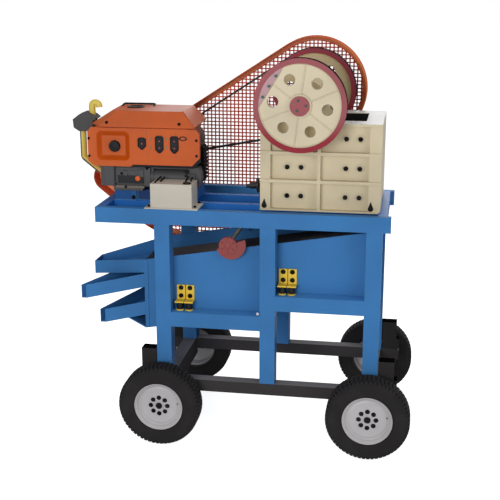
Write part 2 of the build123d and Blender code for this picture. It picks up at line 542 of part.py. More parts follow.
X0 = SCREEN_X0
WALL_H = 92.0
TOP_END, MID_END, LOW_END = (-1071, 1076), (-1058, 975), (-929, 811)
TOP_MOUTH = 79.0                      # half width of the top chute's mouth
MID_FAR = (-1105, -SCREEN_HALF + 35)
LOW_FAR = (-978, -SCREEN_HALF + 32)
MID_Z, LOW_Z = SCREEN_TOP0 - 98, SCREEN_TOP0 - 292
top = chute((X0, -SCREEN_HALF, SCREEN_TOP0), (TOP_END[0], -TOP_MOUTH, TOP_END[1]), (X0, SCREEN_HALF, SCREEN_TOP0),
            (TOP_END[0], TOP_MOUTH, TOP_END[1]), WALL_H - 2)
TIE_H = 35.0
top += slab(TOP_END[0], TOP_END[0] + 5, -TOP_MOUTH, TOP_MOUTH, TOP_END[1] - TIE_H, TOP_END[1])
keep("chute_top", top)
keep("chute_middle", chute((X0, -SCREEN_HALF, MID_Z), (MID_END[0], -SCREEN_HALF, MID_END[1]),
                           (X0, SCREEN_HALF, MID_Z), (*MID_FAR, MID_END[1]), WALL_H))
low = chute((X0, -SCREEN_HALF, LOW_Z), (LOW_END[0], -SCREEN_HALF, LOW_END[1]), (X0, SCREEN_HALF, LOW_Z),
            (*LOW_FAR, LOW_END[1]), WALL_H)
low += prism([(-772, SCREEN_FOOT_Z + 63), (X0, SCREEN_FOOT_Z), (X0, SCREEN_FOOT_Z + 8), (-772, SCREEN_FOOT_Z + 71)],
             -SCREEN_HALF, 60)
keep("chute_bottom", low)


# rubber springs under the screen box
SPRING_Y = SCREEN_HALF + 46
SPRING_R, SPRING_CAP_R, SPRING_DX = 21.0, 25.0, 30.0


def mount(cx, beam_top, sign):
    def ys(a, b):
        return sorted((sign * a, sign * b))
    top = beam_top + 160
    flange = beam_top + 54
    body = slab(cx - 58, cx + 58, *ys(SCREEN_HALF, SCREEN_HALF + 10), flange, top)
    body -= slab(cx - 2, cx + 2, *ys(SCREEN_HALF + 5, SCREEN_HALF + 11), flange, top + 1)
    body += slab(cx - 60, cx + 60, *ys(SCREEN_HALF, SPRING_Y + SPRING_CAP_R), flange, flange + 9)
    for dx in (-SPRING_DX, SPRING_DX):
        spring = Pos(cx + dx, sign * SPRING_Y, (beam_top + flange) / 2) * Cylinder(SPRING_R, flange - beam_top)
        body += spring + Pos(cx + dx, sign * SPRING_Y, beam_top + 4) * Cylinder(SPRING_CAP_R, 8)
    return body


for end, sign in (("front", -1), ("rear", 1)):
    keep(f"spring_mount_{end}_left", mount(-372.0, LOW_BEAM_TOP, sign))
    keep(f"spring_mount_{end}_right", mount(307.0, HIGH_BEAM_TOP, sign))

middle_x = (TIP_C[0] - TIP_R + CHASSIS_X + AXLE_DX + WHEEL_R) / 2
os.makedirs("parts", exist_ok=True)
for name, shape in OUT.items():
    export_step(Pos(-middle_x, 0, WHEEL_R - AXLE_Z) * shape, f"parts/{name}.step")
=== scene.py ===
import math

import bpy
import bmesh
from mathutils import Matrix, Vector


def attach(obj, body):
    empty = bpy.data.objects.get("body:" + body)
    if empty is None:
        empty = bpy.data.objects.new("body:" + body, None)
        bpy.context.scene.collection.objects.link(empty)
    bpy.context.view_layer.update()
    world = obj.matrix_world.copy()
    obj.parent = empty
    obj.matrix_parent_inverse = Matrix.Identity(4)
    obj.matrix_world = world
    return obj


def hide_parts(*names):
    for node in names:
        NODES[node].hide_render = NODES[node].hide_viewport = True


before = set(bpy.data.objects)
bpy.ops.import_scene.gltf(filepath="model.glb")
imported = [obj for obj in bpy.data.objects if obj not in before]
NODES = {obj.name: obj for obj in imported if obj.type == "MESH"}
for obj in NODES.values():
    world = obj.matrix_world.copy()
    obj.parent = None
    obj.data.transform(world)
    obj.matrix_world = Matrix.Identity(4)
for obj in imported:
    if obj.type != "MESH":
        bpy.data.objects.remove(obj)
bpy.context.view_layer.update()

# Places are in millimetres from the middle of the deck, heights from 10 mm above the floor.
# Meshes are made in metres by TO_METRES, which also moves them to the machine's own origin.
DECK_X, LIFT = 0.0475, 0.010
TO_METRES = Matrix.Translation((DECK_X, 0, LIFT)) @ Matrix.Scale(0.001, 4)

BODY = "machine"

# Shafts run along Y; each is given by its place along X and its height.
CRUSHER_SHAFT = (386.0, 2221.0)
PULLEY = (-499.0, 1867.0)
EXCITER = (-79.0, 1302.1)
AXLES_X = {"left": -501.0, "right": 857.0}
WHEEL_Z = 260.0                                 # height of the axles
WHEEL_MID_Y, TYRE_HALF_W = 552.5, 72.5          # from the machine's middle to a tyre's, and half its width
HALF_W = 426.0                                  # half the stand's width
DECK_TOP = 1540.0
MOUNTS = ((-372.0, 852.0), (307.0, 994.0))      # the spring mounts' places along X, and their beams' tops


def srgb(r, g, b):
    """Linear colour of a paint that reads r, g, b (0 to 255) on the screen."""
    def line(v):
        v /= 255
        return v / 12.92 if v <= 0.04045 else ((v + 0.055) / 1.055) ** 2.4
    return (line(r), line(g), line(b), 1.0)


# Node trees

class Value:
    """A node's output that takes part in plain arithmetic."""

    def __init__(self, graph, socket):
        self.graph, self.socket = graph, socket

    def sum(self, operation, *values):
        """A Math node on the values."""
        return self.graph.node("ShaderNodeMath", {"operation": operation}, dict(enumerate(values)))

    def __add__(self, other):
        return self.sum("ADD", self, other)

    def __radd__(self, other):
        return self.sum("ADD", other, self)

    def __sub__(self, other):
        return self.sum("SUBTRACT", self, other)

    def __rsub__(self, other):
        return self.sum("SUBTRACT", other, self)

    def __mul__(self, other):
        return self.sum("MULTIPLY", self, other)

    def __rmul__(self, other):
        return self.sum("MULTIPLY", other, self)

    def __truediv__(self, other):
        return self.sum("DIVIDE", self, other)

    def __rtruediv__(self, other):
        return self.sum("DIVIDE", other, self)

    def wave(self):
        return self.sum("SINE", self)

    def size(self):
        return self.sum("ABSOLUTE", self)

    def root(self):
        return self.sum("SQRT", self)

    def least(self, other):
        return self.sum("MINIMUM", self, other)

    def most(self, other):
        return self.sum("MAXIMUM", self, other)

    def rise(self, low, high):
        """0 below low, 1 above high, smooth between them. A falling step has low above high."""
        return self.graph.node("ShaderNodeMapRange", {"interpolation_type": "SMOOTHSTEP"},
                               {"Value": self, "From Min": low, "From Max": high})

    def past(self, place, blur=0.0005):
        """1 past a place and 0 before it, with a border that is blurred to both sides."""
        return self.rise(place - blur, place + blur)

    def under(self, place, blur=0.0005):
        """1 before a place and 0 past it."""
        return self.rise(place + blur, place - blur)


class Graph:
    """A node tree that is built by plain calls."""

    def __init__(self, tree):
        self.tree = tree

    def node(self, kind, settings=None, inputs=None, out=0):
        """A node of a kind: its settings come first, then the values or links of its sockets."""
        made = self.tree.nodes.new(kind)
        for key, value in (settings or {}).items():
            setattr(made, key, value)
        for key, value in (inputs or {}).items():
            self.put(value, made.inputs[key])
        return Value(self, made.outputs[out])

    def put(self, value, socket):
        if isinstance(value, Value):
            self.tree.links.new(value.socket, socket)
        else:
            socket.default_value = value


class Finish(Graph):
    """A material built from its colour, gloss and grain."""

    def __init__(self, name):
        self.material = bpy.data.materials.new(name)
        self.material.use_nodes = True
        super().__init__(self.material.node_tree)
        self.shader = self.tree.nodes["Principled BSDF"]
        self.at = self.node("ShaderNodeTexCoord", out="Object")

    def set(self, **sockets):
        for name, value in sockets.items():
            self.put(value, self.shader.inputs[name.replace("_", " ")])

    def mix(self, share, a, b):
        return self.node("ShaderNodeMix", {"data_type": "RGBA"}, {0: share, 6: a, 7: b}, out=2)

    def colours(self, colour):
        """A plain colour, or what a zones function makes for this finish."""
        return colour(self) if callable(colour) else colour

    def noise(self, scale, detail, rough=0.55):
        return self.node("ShaderNodeTexNoise", inputs={
            "Vector": self.at, "Scale": scale, "Detail": detail, "Roughness": rough})

    def spots(self, scale):
        return self.node("ShaderNodeTexVoronoi", inputs={"Vector": self.at, "Scale": scale})

    def axis(self, letter):
        """A coordinate in metres, from the same middle as the places in this file."""
        value = self.node("ShaderNodeSeparateXYZ", inputs={0: self.at}, out=letter)
        return value - {"X": DECK_X, "Y": 0.0, "Z": LIFT}[letter]

    def reach(self, x, z):
        """Distance in metres from a line along Y through x, z (millimetres from the deck's middle)."""
        dx, dz = self.axis("X") - x / 1000, self.axis("Z") - z / 1000
        return (dx * dx + dz * dz).root()

    def facing(self):
        return self.node("ShaderNodeNewGeometry", out="Normal")

    def faces(self, letter, low=0.9, high=0.95):
        """A mask of the faces that look along an axis."""
        return self.node("ShaderNodeSeparateXYZ", inputs={0: self.facing()}, out=letter).rise(low, high)

    def edges(self, width):
        """The normal rounded over edges, and a mask of the edges themselves."""
        soft = self.node("ShaderNodeBevel", {"samples": 4}, {"Radius": width})
        same = self.node("ShaderNodeVectorMath", {"operation": "DOT_PRODUCT"},
                         {0: soft, 1: self.facing()}, out="Value")
        return soft, (1.0 - same).rise(0.01, 0.16)

    def grain(self, height, strength, distance, normal=None):
        inputs = {"Height": height, "Strength": strength, "Distance": distance}
        if normal is not None:
            inputs["Normal"] = normal
        return self.node("ShaderNodeBump", inputs=inputs)


STONE_DUST = (0.50, 0.47, 0.42, 1.0)
RUBBER_DIRT = (0.22, 0.20, 0.18, 1.0)
RUST = (0.19, 0.075, 0.03, 1.0)


def paint(name, colour, wear, dust, rough=0.42, edge=0.002, peel=0.10, gloss=0.3,
          bare=(0.30, 0.28, 0.26, 1.0)):
    """Sprayed paint: slight colour drift, orange peel, rubbed edges and a film of stone dust."""
    f = Finish(name)
    drift = f.noise(2.6, 3.0)
    mottle = f.noise(46.0, 4.0)
    shade = f.mix(drift.rise(0.25, 0.75) * 0.16, f.colours(colour), (0.02, 0.02, 0.025, 1.0))
    soft, rim = f.edges(edge)
    scuffs = f.noise(90.0, 5.0, 0.7)
    rubbed = rim * scuffs.rise(0.5, 0.68) * wear
    body = f.mix(rubbed, shade, bare)
    up = f.faces("Z", 0.35)
    film = (up * 0.8 + 0.12) * drift.rise(0.3, 0.72) * mottle.rise(0.3, 0.8) * dust
    pimples = f.noise(520.0, 2.0)
    f.set(Base_Color=f.mix(film, body, STONE_DUST), Metallic=rubbed * 0.6, Specular_IOR_Level=gloss,
          Roughness=mottle * 0.10 + film * 0.3 + rubbed * 0.15 + (rough - 0.05),
          Normal=f.grain(pimples + mottle * 0.6, peel, 0.0006, soft))
    return f.material


def rubber(name, colour, rough, dust, ribs=None):
    """Dull rubber with patches of dirt, and ribs where a function gives their height."""
    f = Finish(name)
    patch = f.noise(7.0, 4.0)
    fine = f.noise(240.0, 3.0)
    dirt = patch.rise(0.42, 0.75) * fine.rise(0.25, 0.8) * dust
    height = fine if ribs is None else fine + ribs(f)
    f.set(Base_Color=f.mix(dirt, f.colours(colour), RUBBER_DIRT), Roughness=fine * 0.16 + (rough - 0.06),
          Specular_IOR_Level=0.25, Normal=f.grain(height, 0.25, 0.0012))
    return f.material


def steel(name, colour, rough, metal=0.9, turned=None, rust=0.0, gloss=0.5):
    """Bare metal: machining lines round an axis, or a cast skin, with a little rust."""
    f = Finish(name)
    cloud = f.noise(9.0, 4.0)
    if turned:
        lines = (f.reach(*turned) * 5200.0).wave() * 0.5 + f.noise(160.0, 2.0)
    else:
        lines = f.noise(190.0, 5.0, 0.65)
    stain = cloud.rise(0.5, 0.75) * lines.rise(0.35, 0.8) * rust
    clouded = f.mix(cloud.rise(0.3, 0.7) * 0.35, colour, (0.05, 0.05, 0.055, 1.0))
    soft, _ = f.edges(0.0012)
    f.set(Base_Color=f.mix(stain, clouded, RUST), Metallic=stain * (-metal) + metal,
          Roughness=lines * 0.14 + stain * 0.3 + (rough - 0.07), Specular_IOR_Level=gloss,
          Normal=f.grain(lines, 0.18, 0.0008, soft))
    return f.material


def plastic(name, colour, rough, grain=420.0, gloss=0.18):
    """Moulded plastic with a fine cell grain and slight smears."""
    f = Finish(name)
    cell = f.spots(grain)
    smear = f.noise(12.0, 3.0)
    soft, _ = f.edges(0.0015)
    f.set(Base_Color=f.mix(smear.rise(0.35, 0.8) * 0.12, colour, (0.10, 0.095, 0.09, 1.0)),
          Roughness=smear * 0.16 + (rough - 0.06), Specular_IOR_Level=gloss,
          Normal=f.grain(cell, 0.12, 0.0006, soft))
    return f.material


# Colours over the pieces. Places in the zones are in metres, from the same middle as the rest.

# The rims' pinkish upper tone is a painted sheen, and the darker lower tone is a painted shade.
CRIMSON, CRIMSON_SHADED = srgb(168, 98, 103), srgb(156, 58, 68)


def flywheel_zones(disc, rim, outer, weight=None):
    """Rim and hub cap crimson, the rim's top a pinkish painted sheen and its lower part a darker painted
    shade; disc pale, balance weight pink, outer skin dark.
    """
    rim_in, rim_out, cap_r = 0.2525, 0.284, 0.0605
    rim_end_y, cap_y, weight_y = 0.467, 0.478, -0.405
    weight_from, lean = 0.2068, math.radians(148.5)

    def zones(f):
        r, y = f.reach(*CRUSHER_SHAFT), f.axis("Y")
        # painted shade: the rim turns darker towards the bottom
        low = f.mix(f.axis("Z").rise(2.16, 2.0), rim, CRIMSON_SHADED)
        face = disc
        if weight:
            dx, dz = f.axis("X") - CRUSHER_SHAFT[0] / 1000, f.axis("Z") - CRUSHER_SHAFT[1] / 1000
            along = dx * math.cos(lean) + dz * math.sin(lean)
            face = f.mix(along.past(weight_from) * y.under(weight_y, 0.005), disc, weight)
        face = f.mix(r.past(rim_in, 0.001), face, low)
        skin = f.mix(r.past(rim_out) * y.size().under(rim_end_y, 0.005), face, outer)
        cap = r.under(cap_r, 0.0008) * y.size().past(cap_y)
        return f.mix(cap, skin, rim)
    return zones


def mount_zones(f):
    """Yellow with a black rubber band and a darker slit; the left and right beams differ in height."""
    yellow, slit, black = srgb(242, 204, 64), srgb(150, 122, 40), srgb(12, 12, 13)
    (left_x, left_z), (right_x, right_z) = MOUNTS
    rubber_low, rubber_high, rubber_y, half_slit = 0.0084, 0.0536, 0.33075, 0.0029
    right = f.axis("X").past(0.0)
    up = f.axis("Z") - (right * ((right_z - left_z) / 1000) + left_z / 1000)
    band = (up.past(rubber_low, 0.0002) * up.under(rubber_high, 0.0002)
            * f.axis("Y").size().past(rubber_y, 0.00025))
    middle = f.axis("X") - (right * ((right_x - left_x) / 1000) + left_x / 1000)
    split = middle.size().under(half_slit, 0.0007)
    return f.mix(band, f.mix(split, yellow, slit), black)


def exhaust_zones(f):
    """Yellow, heated brown at the manifold end, with a dark strip along the left of the lower run."""
    yellow, heated, dark = srgb(226, 204, 96), srgb(206, 138, 66), srgb(38, 42, 52)
    run_x, bend_z, lean, strip_x, strip_top = -1.120, 1.80, 1.227, -0.00875, 2.035
    z = f.axis("Z")
    warm = f.mix(z.rise(1.95, 1.72) * 0.45, yellow, heated)
    middle = (bend_z - z).most(0.0) * lean + run_x
    left = (f.axis("X") - middle).under(strip_x, 0.00075)
    return f.mix(left * z.under(strip_top, 0.005), warm, dark)


def body_zones(f):
    """Cream, painted paler behind the flywheels to lift the shade there; its top faces painted grey as a
    reflection, and the crushing chamber dark.
    """
    cream, pale = srgb(214, 200, 168), srgb(255, 240, 200)
    grey, dark = srgb(212, 212, 210), srgb(14, 14, 14)
    chamber_x, chamber_half_x, chamber_half_y, chamber_top = 0.4705, 0.30725, 0.18725, 2.098
    painted_light_r, wall_y = 0.25, 0.255
    z, out = f.axis("Z"), f.axis("Y").size()
    inside = (out.under(chamber_half_y, 0.00025) * z.under(chamber_top)
              * (f.axis("X") - chamber_x).size().under(chamber_half_x, 0.00025))
    # painted reflection: the top faces are pale grey
    top = f.faces("Z") * z.past(chamber_top - 0.0005)
    # painted light: paler paint behind the flywheels lifts the shade between them and the body
    painted_light_behind_wheels = f.reach(*CRUSHER_SHAFT).under(painted_light_r, 0.01) * out.past(wall_y, 0.005)
    return f.mix(inside, f.mix(top, f.mix(painted_light_behind_wheels, cream, pale), grey), dark)


def jaw_zones(f):
    """Cream head and back; the toothed plate, the rod and the spring seat bare and dark."""
    plate_face, plate_foot_z, plate_top = 0.656, 1.64, 2.0825
    rod_x, rod_top = 0.5475, 1.7175
    x, z = f.axis("X"), f.axis("Z")
    square_to_plate = x * 0.972 + (z - plate_foot_z) * 0.235
    plate = square_to_plate.past(plate_face) * z.under(plate_top, 0.0025)
    low = z.under(rod_top, 0.0025) * x.under(rod_x, 0.0025)
    return f.mix(plate.most(low), srgb(224, 205, 162), srgb(40, 38, 37))


def housing_zones(f):
    """Orange, with recess walls painted a deeper orange as shade, a painted shadow along the panel's foot,
    the corner painted dark as shade where the real panel is cut away, and a painted sheen on the lid's top
    that grows to the right.
    """
    orange, deep = srgb(209, 101, 54), srgb(192, 76, 0)
    dark, lid_sheen = srgb(30, 32, 38), srgb(250, 194, 182)
    recess_x, recess_z, half_x, half_z, corner_r = -0.860, 1.910, 0.078, 0.063, 0.033
    floor_edge, front_y, panel_y = 0.002, -0.214, -0.2055
    step_x, step_height, panel_foot = -0.739, 0.0155, 1.774
    cut_corner, cut_x, cut_z, lid_z = -2.1255, -0.395, 1.855, 2.105
    x, z = f.axis("X"), f.axis("Z")
    beyond_x, beyond_z = (x - recess_x).size() - half_x, (z - recess_z).size() - half_z
    round_x, round_z = beyond_x.most(0.0), beyond_z.most(0.0)
    recess = (round_x * round_x + round_z * round_z).root().under(corner_r, 0.005)
    walls = beyond_x.most(beyond_z).past(floor_edge, 0.006)
    # painted shade: the recess walls take a deeper orange
    sheet = f.mix(recess * walls * f.axis("Y").under(front_y, 0.002), orange, deep)
    foot = x.past(step_x, 0.016) * step_height
    # painted shadow: a dark strip under the panel's lower edge, and a dark corner painted as shade where the
    # real panel is cut away
    below = (z - foot).under(panel_foot) * f.axis("Y").under(panel_y)
    corner = (x - z).past(cut_corner) * z.under(cut_z, 0.005) * x.past(cut_x, 0.005)
    sheet = f.mix(below.most(corner), sheet, dark)
    # painted sheen: the lid's top faces turn paler and pinker towards the right
    lid_sheen_mask = f.faces("Z") * z.past(lid_z, 0.005) * x.rise(-0.80, -0.52)
    return f.mix(lid_sheen_mask, sheet, lid_sheen)


def guard_zones(f):
    """The rear flange, seen from the front, is painted a brighter orange than the outer band to lift the
    shadow the band casts on it; flange and band are painted lighter still towards their ends, lifting the
    shade there.
    """
    flange_lit_left, flange_lit_middle, flange_lit_right = srgb(255, 166, 120), srgb(244, 152, 116), srgb(255, 166, 110)
    band, band_lit_right = srgb(226, 116, 76), srgb(250, 142, 92)
    flange_y = 0.554
    flange = f.axis("Y").past(flange_y)
    # painted light: lighter towards the left and right ends, where the guard stands in shade
    left, right = f.axis("X").rise(0.1, -0.3), f.axis("X").rise(0.45, 0.7)
    inner = f.mix(right, f.mix(left, flange_lit_middle, flange_lit_left), flange_lit_right)
    return f.mix(flange, f.mix(right, band, band_lit_right), inner)


def mesh_zones(f):
    """Red, painted brighter towards the left to lift the shade near the engine."""
    return f.mix(f.axis("X").rise(-0.10, -0.45), srgb(212, 68, 44), srgb(255, 104, 74))


def inner_zones(f):
    """Blue; the engine's plinth painted in shade, with painted light on its corner and along its foot."""
    blue, light, shade = srgb(32, 110, 196), srgb(66, 122, 172), srgb(28, 62, 116)
    left_shade, middle_shade = srgb(34, 88, 150), srgb(38, 100, 164)
    plinth_y, plinth_z, foot_z = -0.18725, 1.542, 1.5485
    corner_x, half_corner, turn_x, middle_x = -0.719, 0.0045, -0.7155, -0.755
    x, z = f.axis("X"), f.axis("Z")
    plinth = f.axis("Y").under(plinth_y, 0.00025) * z.past(plinth_z, 0.001)
    left = f.mix(x.past(middle_x, 0.005), left_shade, middle_shade)
    face = f.mix(x.past(turn_x, 0.001), left, shade)
    # painted highlight on the plinth's corner and along its foot
    corner = (x - corner_x).size().under(half_corner, 0.0015).most(z.under(foot_z, 0.0015))
    return f.mix(plinth, blue, f.mix(corner, face, light))


def exciter_zones(f):
    """Red discs on an olive shaft."""
    shaft_r, half_length = 0.01415, 0.3425
    shaft = f.reach(*EXCITER).under(shaft_r, 0.00035) * f.axis("Y").size().under(half_length)
    return f.mix(shaft, srgb(148, 66, 64), srgb(126, 112, 70))


def frame_zones(f):
    """Blue, with painted shade on the legs' lower right sides and painted light on the beam tops and the
    deck's rear web.
    """
    blue, deep, light = srgb(66, 126, 186), srgb(26, 76, 130), srgb(84, 152, 214)
    legs_top, beams_top, web_foot, web_in, web_out = 0.855, 1.05, 1.435, 0.305, 0.425
    y, z = f.axis("Y"), f.axis("Z")
    # painted shade on the legs' lower right-facing sides
    right = f.faces("X", 0.85) * z.under(legs_top, 0.005)
    # painted light on the low beams' tops
    up = f.faces("Z") * z.under(beams_top, 0.05)
    # painted light on the deck's rear web
    lit_rear_web = y.past(web_in, 0.005) * y.under(web_out) * z.past(web_foot, 0.005)
    return f.mix(up.most(lit_rear_web), f.mix(right, blue, deep), light)


def trolley_zones(f):
    """Charcoal: the rails' tops painted light grey as a sheen, the tops of posts and steps black."""
    side_low, side_high = srgb(66, 63, 64), srgb(52, 50, 50)
    rail_top_sheen, top_high = srgb(148, 144, 144), srgb(9, 9, 9)
    rail_top_z = 0.3882
    high = f.axis("Z").past(rail_top_z, 0.0004)
    # painted sheen: the rails' up faces are light grey
    return f.mix(f.faces("Z"), f.mix(high, side_low, side_high), f.mix(high, rail_top_sheen, top_high))


def rim_zones(f):
    """Pale; the flange's edge dark on the side that faces the trolley."""
    flange_r, inner_y = 0.149, 0.552
    r = f.reach(AXLES_X["left"], WHEEL_Z).least(f.reach(AXLES_X["right"], WHEEL_Z))
    edge = r.past(flange_r, 0.001) * f.axis("Y").size().under(inner_y)
    return f.mix(edge, srgb(196, 193, 195), srgb(46, 44, 44))


def mat_zones(f):
    """Worn grey towards the screen's high end, black towards the jaws."""
    return f.mix(f.axis("X").rise(-0.12, -0.02), srgb(88, 80, 76), srgb(24, 22, 22))


def belt_ribs(f):
    """Ribs that run along the belt, side by side across its width."""
    return (f.axis("Y") * 900.0).wave() * 0.8


FRONT_WHEEL = flywheel_zones(srgb(227, 215, 187), CRIMSON, srgb(30, 36, 42), srgb(198, 162, 168))
REAR_WHEEL = flywheel_zones(srgb(206, 186, 146), srgb(146, 54, 66), srgb(40, 34, 36))

FRAME = paint("frame blue paint", frame_zones, rough=0.45, wear=0.2, dust=0.01, gloss=0.04)
INNER = paint("inner frame paint", inner_zones, rough=0.45, wear=0.15, dust=0.02, gloss=0.15)
TROLLEY = paint("trolley charcoal paint", trolley_zones, rough=0.5, wear=0.2, dust=0.01, gloss=0.0)
CRUSHER = paint("crusher cream paint", body_zones, edge=0.003, wear=0.18, dust=0.08)
JAW_BODY = paint("swing jaw paint", jaw_zones, rough=0.45, edge=0.003, wear=0.18, dust=0.1)
RIMS = paint("rim grey paint", rim_zones, rough=0.4, edge=0.0015, wear=0.2, dust=0.06)
ORANGE = paint("engine orange paint", housing_zones, edge=0.004, gloss=0.06, wear=0.12, dust=0.06)
ENGINE = paint("engine grey paint", srgb(74, 74, 76), rough=0.5, edge=0.0025, wear=0.3, dust=0.12, peel=0.3)
PIPE = paint("exhaust yellow paint", exhaust_zones, rough=0.4, wear=0.3, dust=0.08)
SILENCER = paint("silencer grey paint", srgb(86, 86, 87), rough=0.7, edge=0.004, wear=0.2, dust=0.08,
                 peel=0.35, gloss=0.1)
BOX = paint("base box paint", srgb(200, 194, 180), wear=0.25, dust=0.1)
FOOT = paint("foot plate paint", srgb(116, 104, 96), rough=0.5, wear=0.2, dust=0.1)
TAN = paint("panel mark paint", srgb(150, 112, 78), rough=0.6, wear=0.1, dust=0.05)
GUARD = paint("guard rust orange paint", guard_zones, rough=0.5, wear=0.1, dust=0.03, gloss=0.0)
MESH = paint("guard mesh red paint", mesh_zones, rough=0.7, edge=0.0006, wear=0.0, dust=0.0, gloss=0.0)
# The high wear and dark bare colour draw dark lines along the flywheel's rib edges and hub ring: rubbed
# paint, and painted edge shade as well.
WHEEL_FRONT = paint("flywheel paint", FRONT_WHEEL, rough=0.5, edge=0.005, wear=0.6, dust=0.03, gloss=0.0,
                    bare=(0.22, 0.19, 0.13, 1.0))
WHEEL_REAR = paint("rear flywheel paint", REAR_WHEEL, rough=0.5, wear=0.15, dust=0.05, gloss=0.15)
YELLOW = paint("spring mount paint", mount_zones, edge=0.0012, wear=0.25, dust=0.1)
RED = paint("exciter red paint", exciter_zones, rough=0.45, wear=0.15, dust=0.1)
TYRE = rubber("tyre rubber", srgb(32, 30, 31), rough=0.85, dust=0.08)
BELT = rubber("belt rubber", srgb(26, 26, 28), rough=0.6, dust=0.15, ribs=belt_ribs)
MAT = rubber("screen mat", mat_zones, rough=0.7, dust=0.3)
JAW = steel("jaw cast steel", (0.045, 0.045, 0.048, 1.0), rough=0.5, metal=0.7, rust=0.5)
SHAFT = steel("shaft steel", (0.55, 0.55, 0.56, 1.0), rough=0.28, turned=CRUSHER_SHAFT)
PULLEY_STEEL = steel("pulley steel", (0.36, 0.35, 0.36, 1.0), rough=0.45, metal=0.4, turned=PULLEY, rust=0.2)
DARK_CAST = paint("dark casting paint", srgb(44, 45, 47), rough=0.6, wear=0.2, dust=0.08, gloss=0.15)
BLACK = steel("black bolt steel", (0.004, 0.004, 0.0045, 1.0), rough=0.6, metal=0.0, gloss=0.05)
GREEN = steel("cap bolt steel", (0.02, 0.09, 0.07, 1.0), rough=0.36, metal=0.6)
DULL_BOLT = steel("dull bolt steel", (0.12, 0.12, 0.12, 1.0), rough=0.5, metal=0.3)
ZINC = steel("zinc bolt steel", (0.62, 0.63, 0.66, 1.0), rough=0.28, metal=0.95)
COVER = plastic("engine cover plastic", srgb(4, 4, 5), rough=0.65, gloss=0.1)
GRIP = plastic("grip plastic", srgb(14, 18, 22), rough=0.45)
BUTTON = plastic("button plastic", srgb(232, 100, 40), rough=0.3, grain=300.0)

# The finish of each piece of the CAD model
for material, names in (
        (INNER, "deck_inner_frame"),
        (FRAME, "stand_front stand_rear deck_beam_front deck_beam_rear screen_box "
                "chute_top chute_middle chute_bottom"),
        (TROLLEY, "trolley_rail_front trolley_rail_rear cross_member_left cross_member_right "
                  "axle_left axle_right"),
        (TYRE, "tyre_front_left tyre_front_right tyre_rear_left tyre_rear_right"),
        (RIMS, "rim_front_left rim_front_right rim_rear_left rim_rear_right"),
        (CRUSHER, "crusher_body"), (JAW, "fixed_jaw"), (JAW_BODY, "swing_jaw"), (SHAFT, "crusher_shaft"),
        (WHEEL_FRONT, "flywheel_front"), (WHEEL_REAR, "flywheel_rear"), (ORANGE, "engine_housing"),
        (ENGINE, "engine_block"), (SILENCER, "exhaust_silencer"), (COVER, "engine_end_cover"),
        (PIPE, "exhaust_pipe"), (BOX, "engine_base_box"), (PULLEY_STEEL, "engine_pulley"),
        (BELT, "drive_belt"), (GUARD, "guard_rim"), (MESH, "guard_mesh"), (MAT, "screen_mesh_deck"),
        (RED, "exciter"),
        (YELLOW, "spring_mount_front_left spring_mount_front_right spring_mount_rear_left "
                 "spring_mount_rear_right")):
    for name in names.split():
        slots = NODES[name].data.materials
        if not len(slots):
            slots.append(material)
        for k in range(len(slots)):
            slots[k] = material


# Plain mesh pieces

def ride(piece, material, body=BODY):
    """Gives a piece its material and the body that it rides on."""
    piece.data.materials.clear()
    piece.data.materials.append(material)
    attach(piece, body)
    return piece


def turns(count, start=0.0):
    """Angles spaced evenly round a full turn; start is in degrees."""
    return [math.radians(start) + 2 * math.pi * k / count for k in range(count)]


def placed(name, mesh):
    """A new object for a mesh that already holds its place."""
    piece = bpy.data.objects.new(name, mesh)
    bpy.context.scene.collection.objects.link(piece)
    return piece


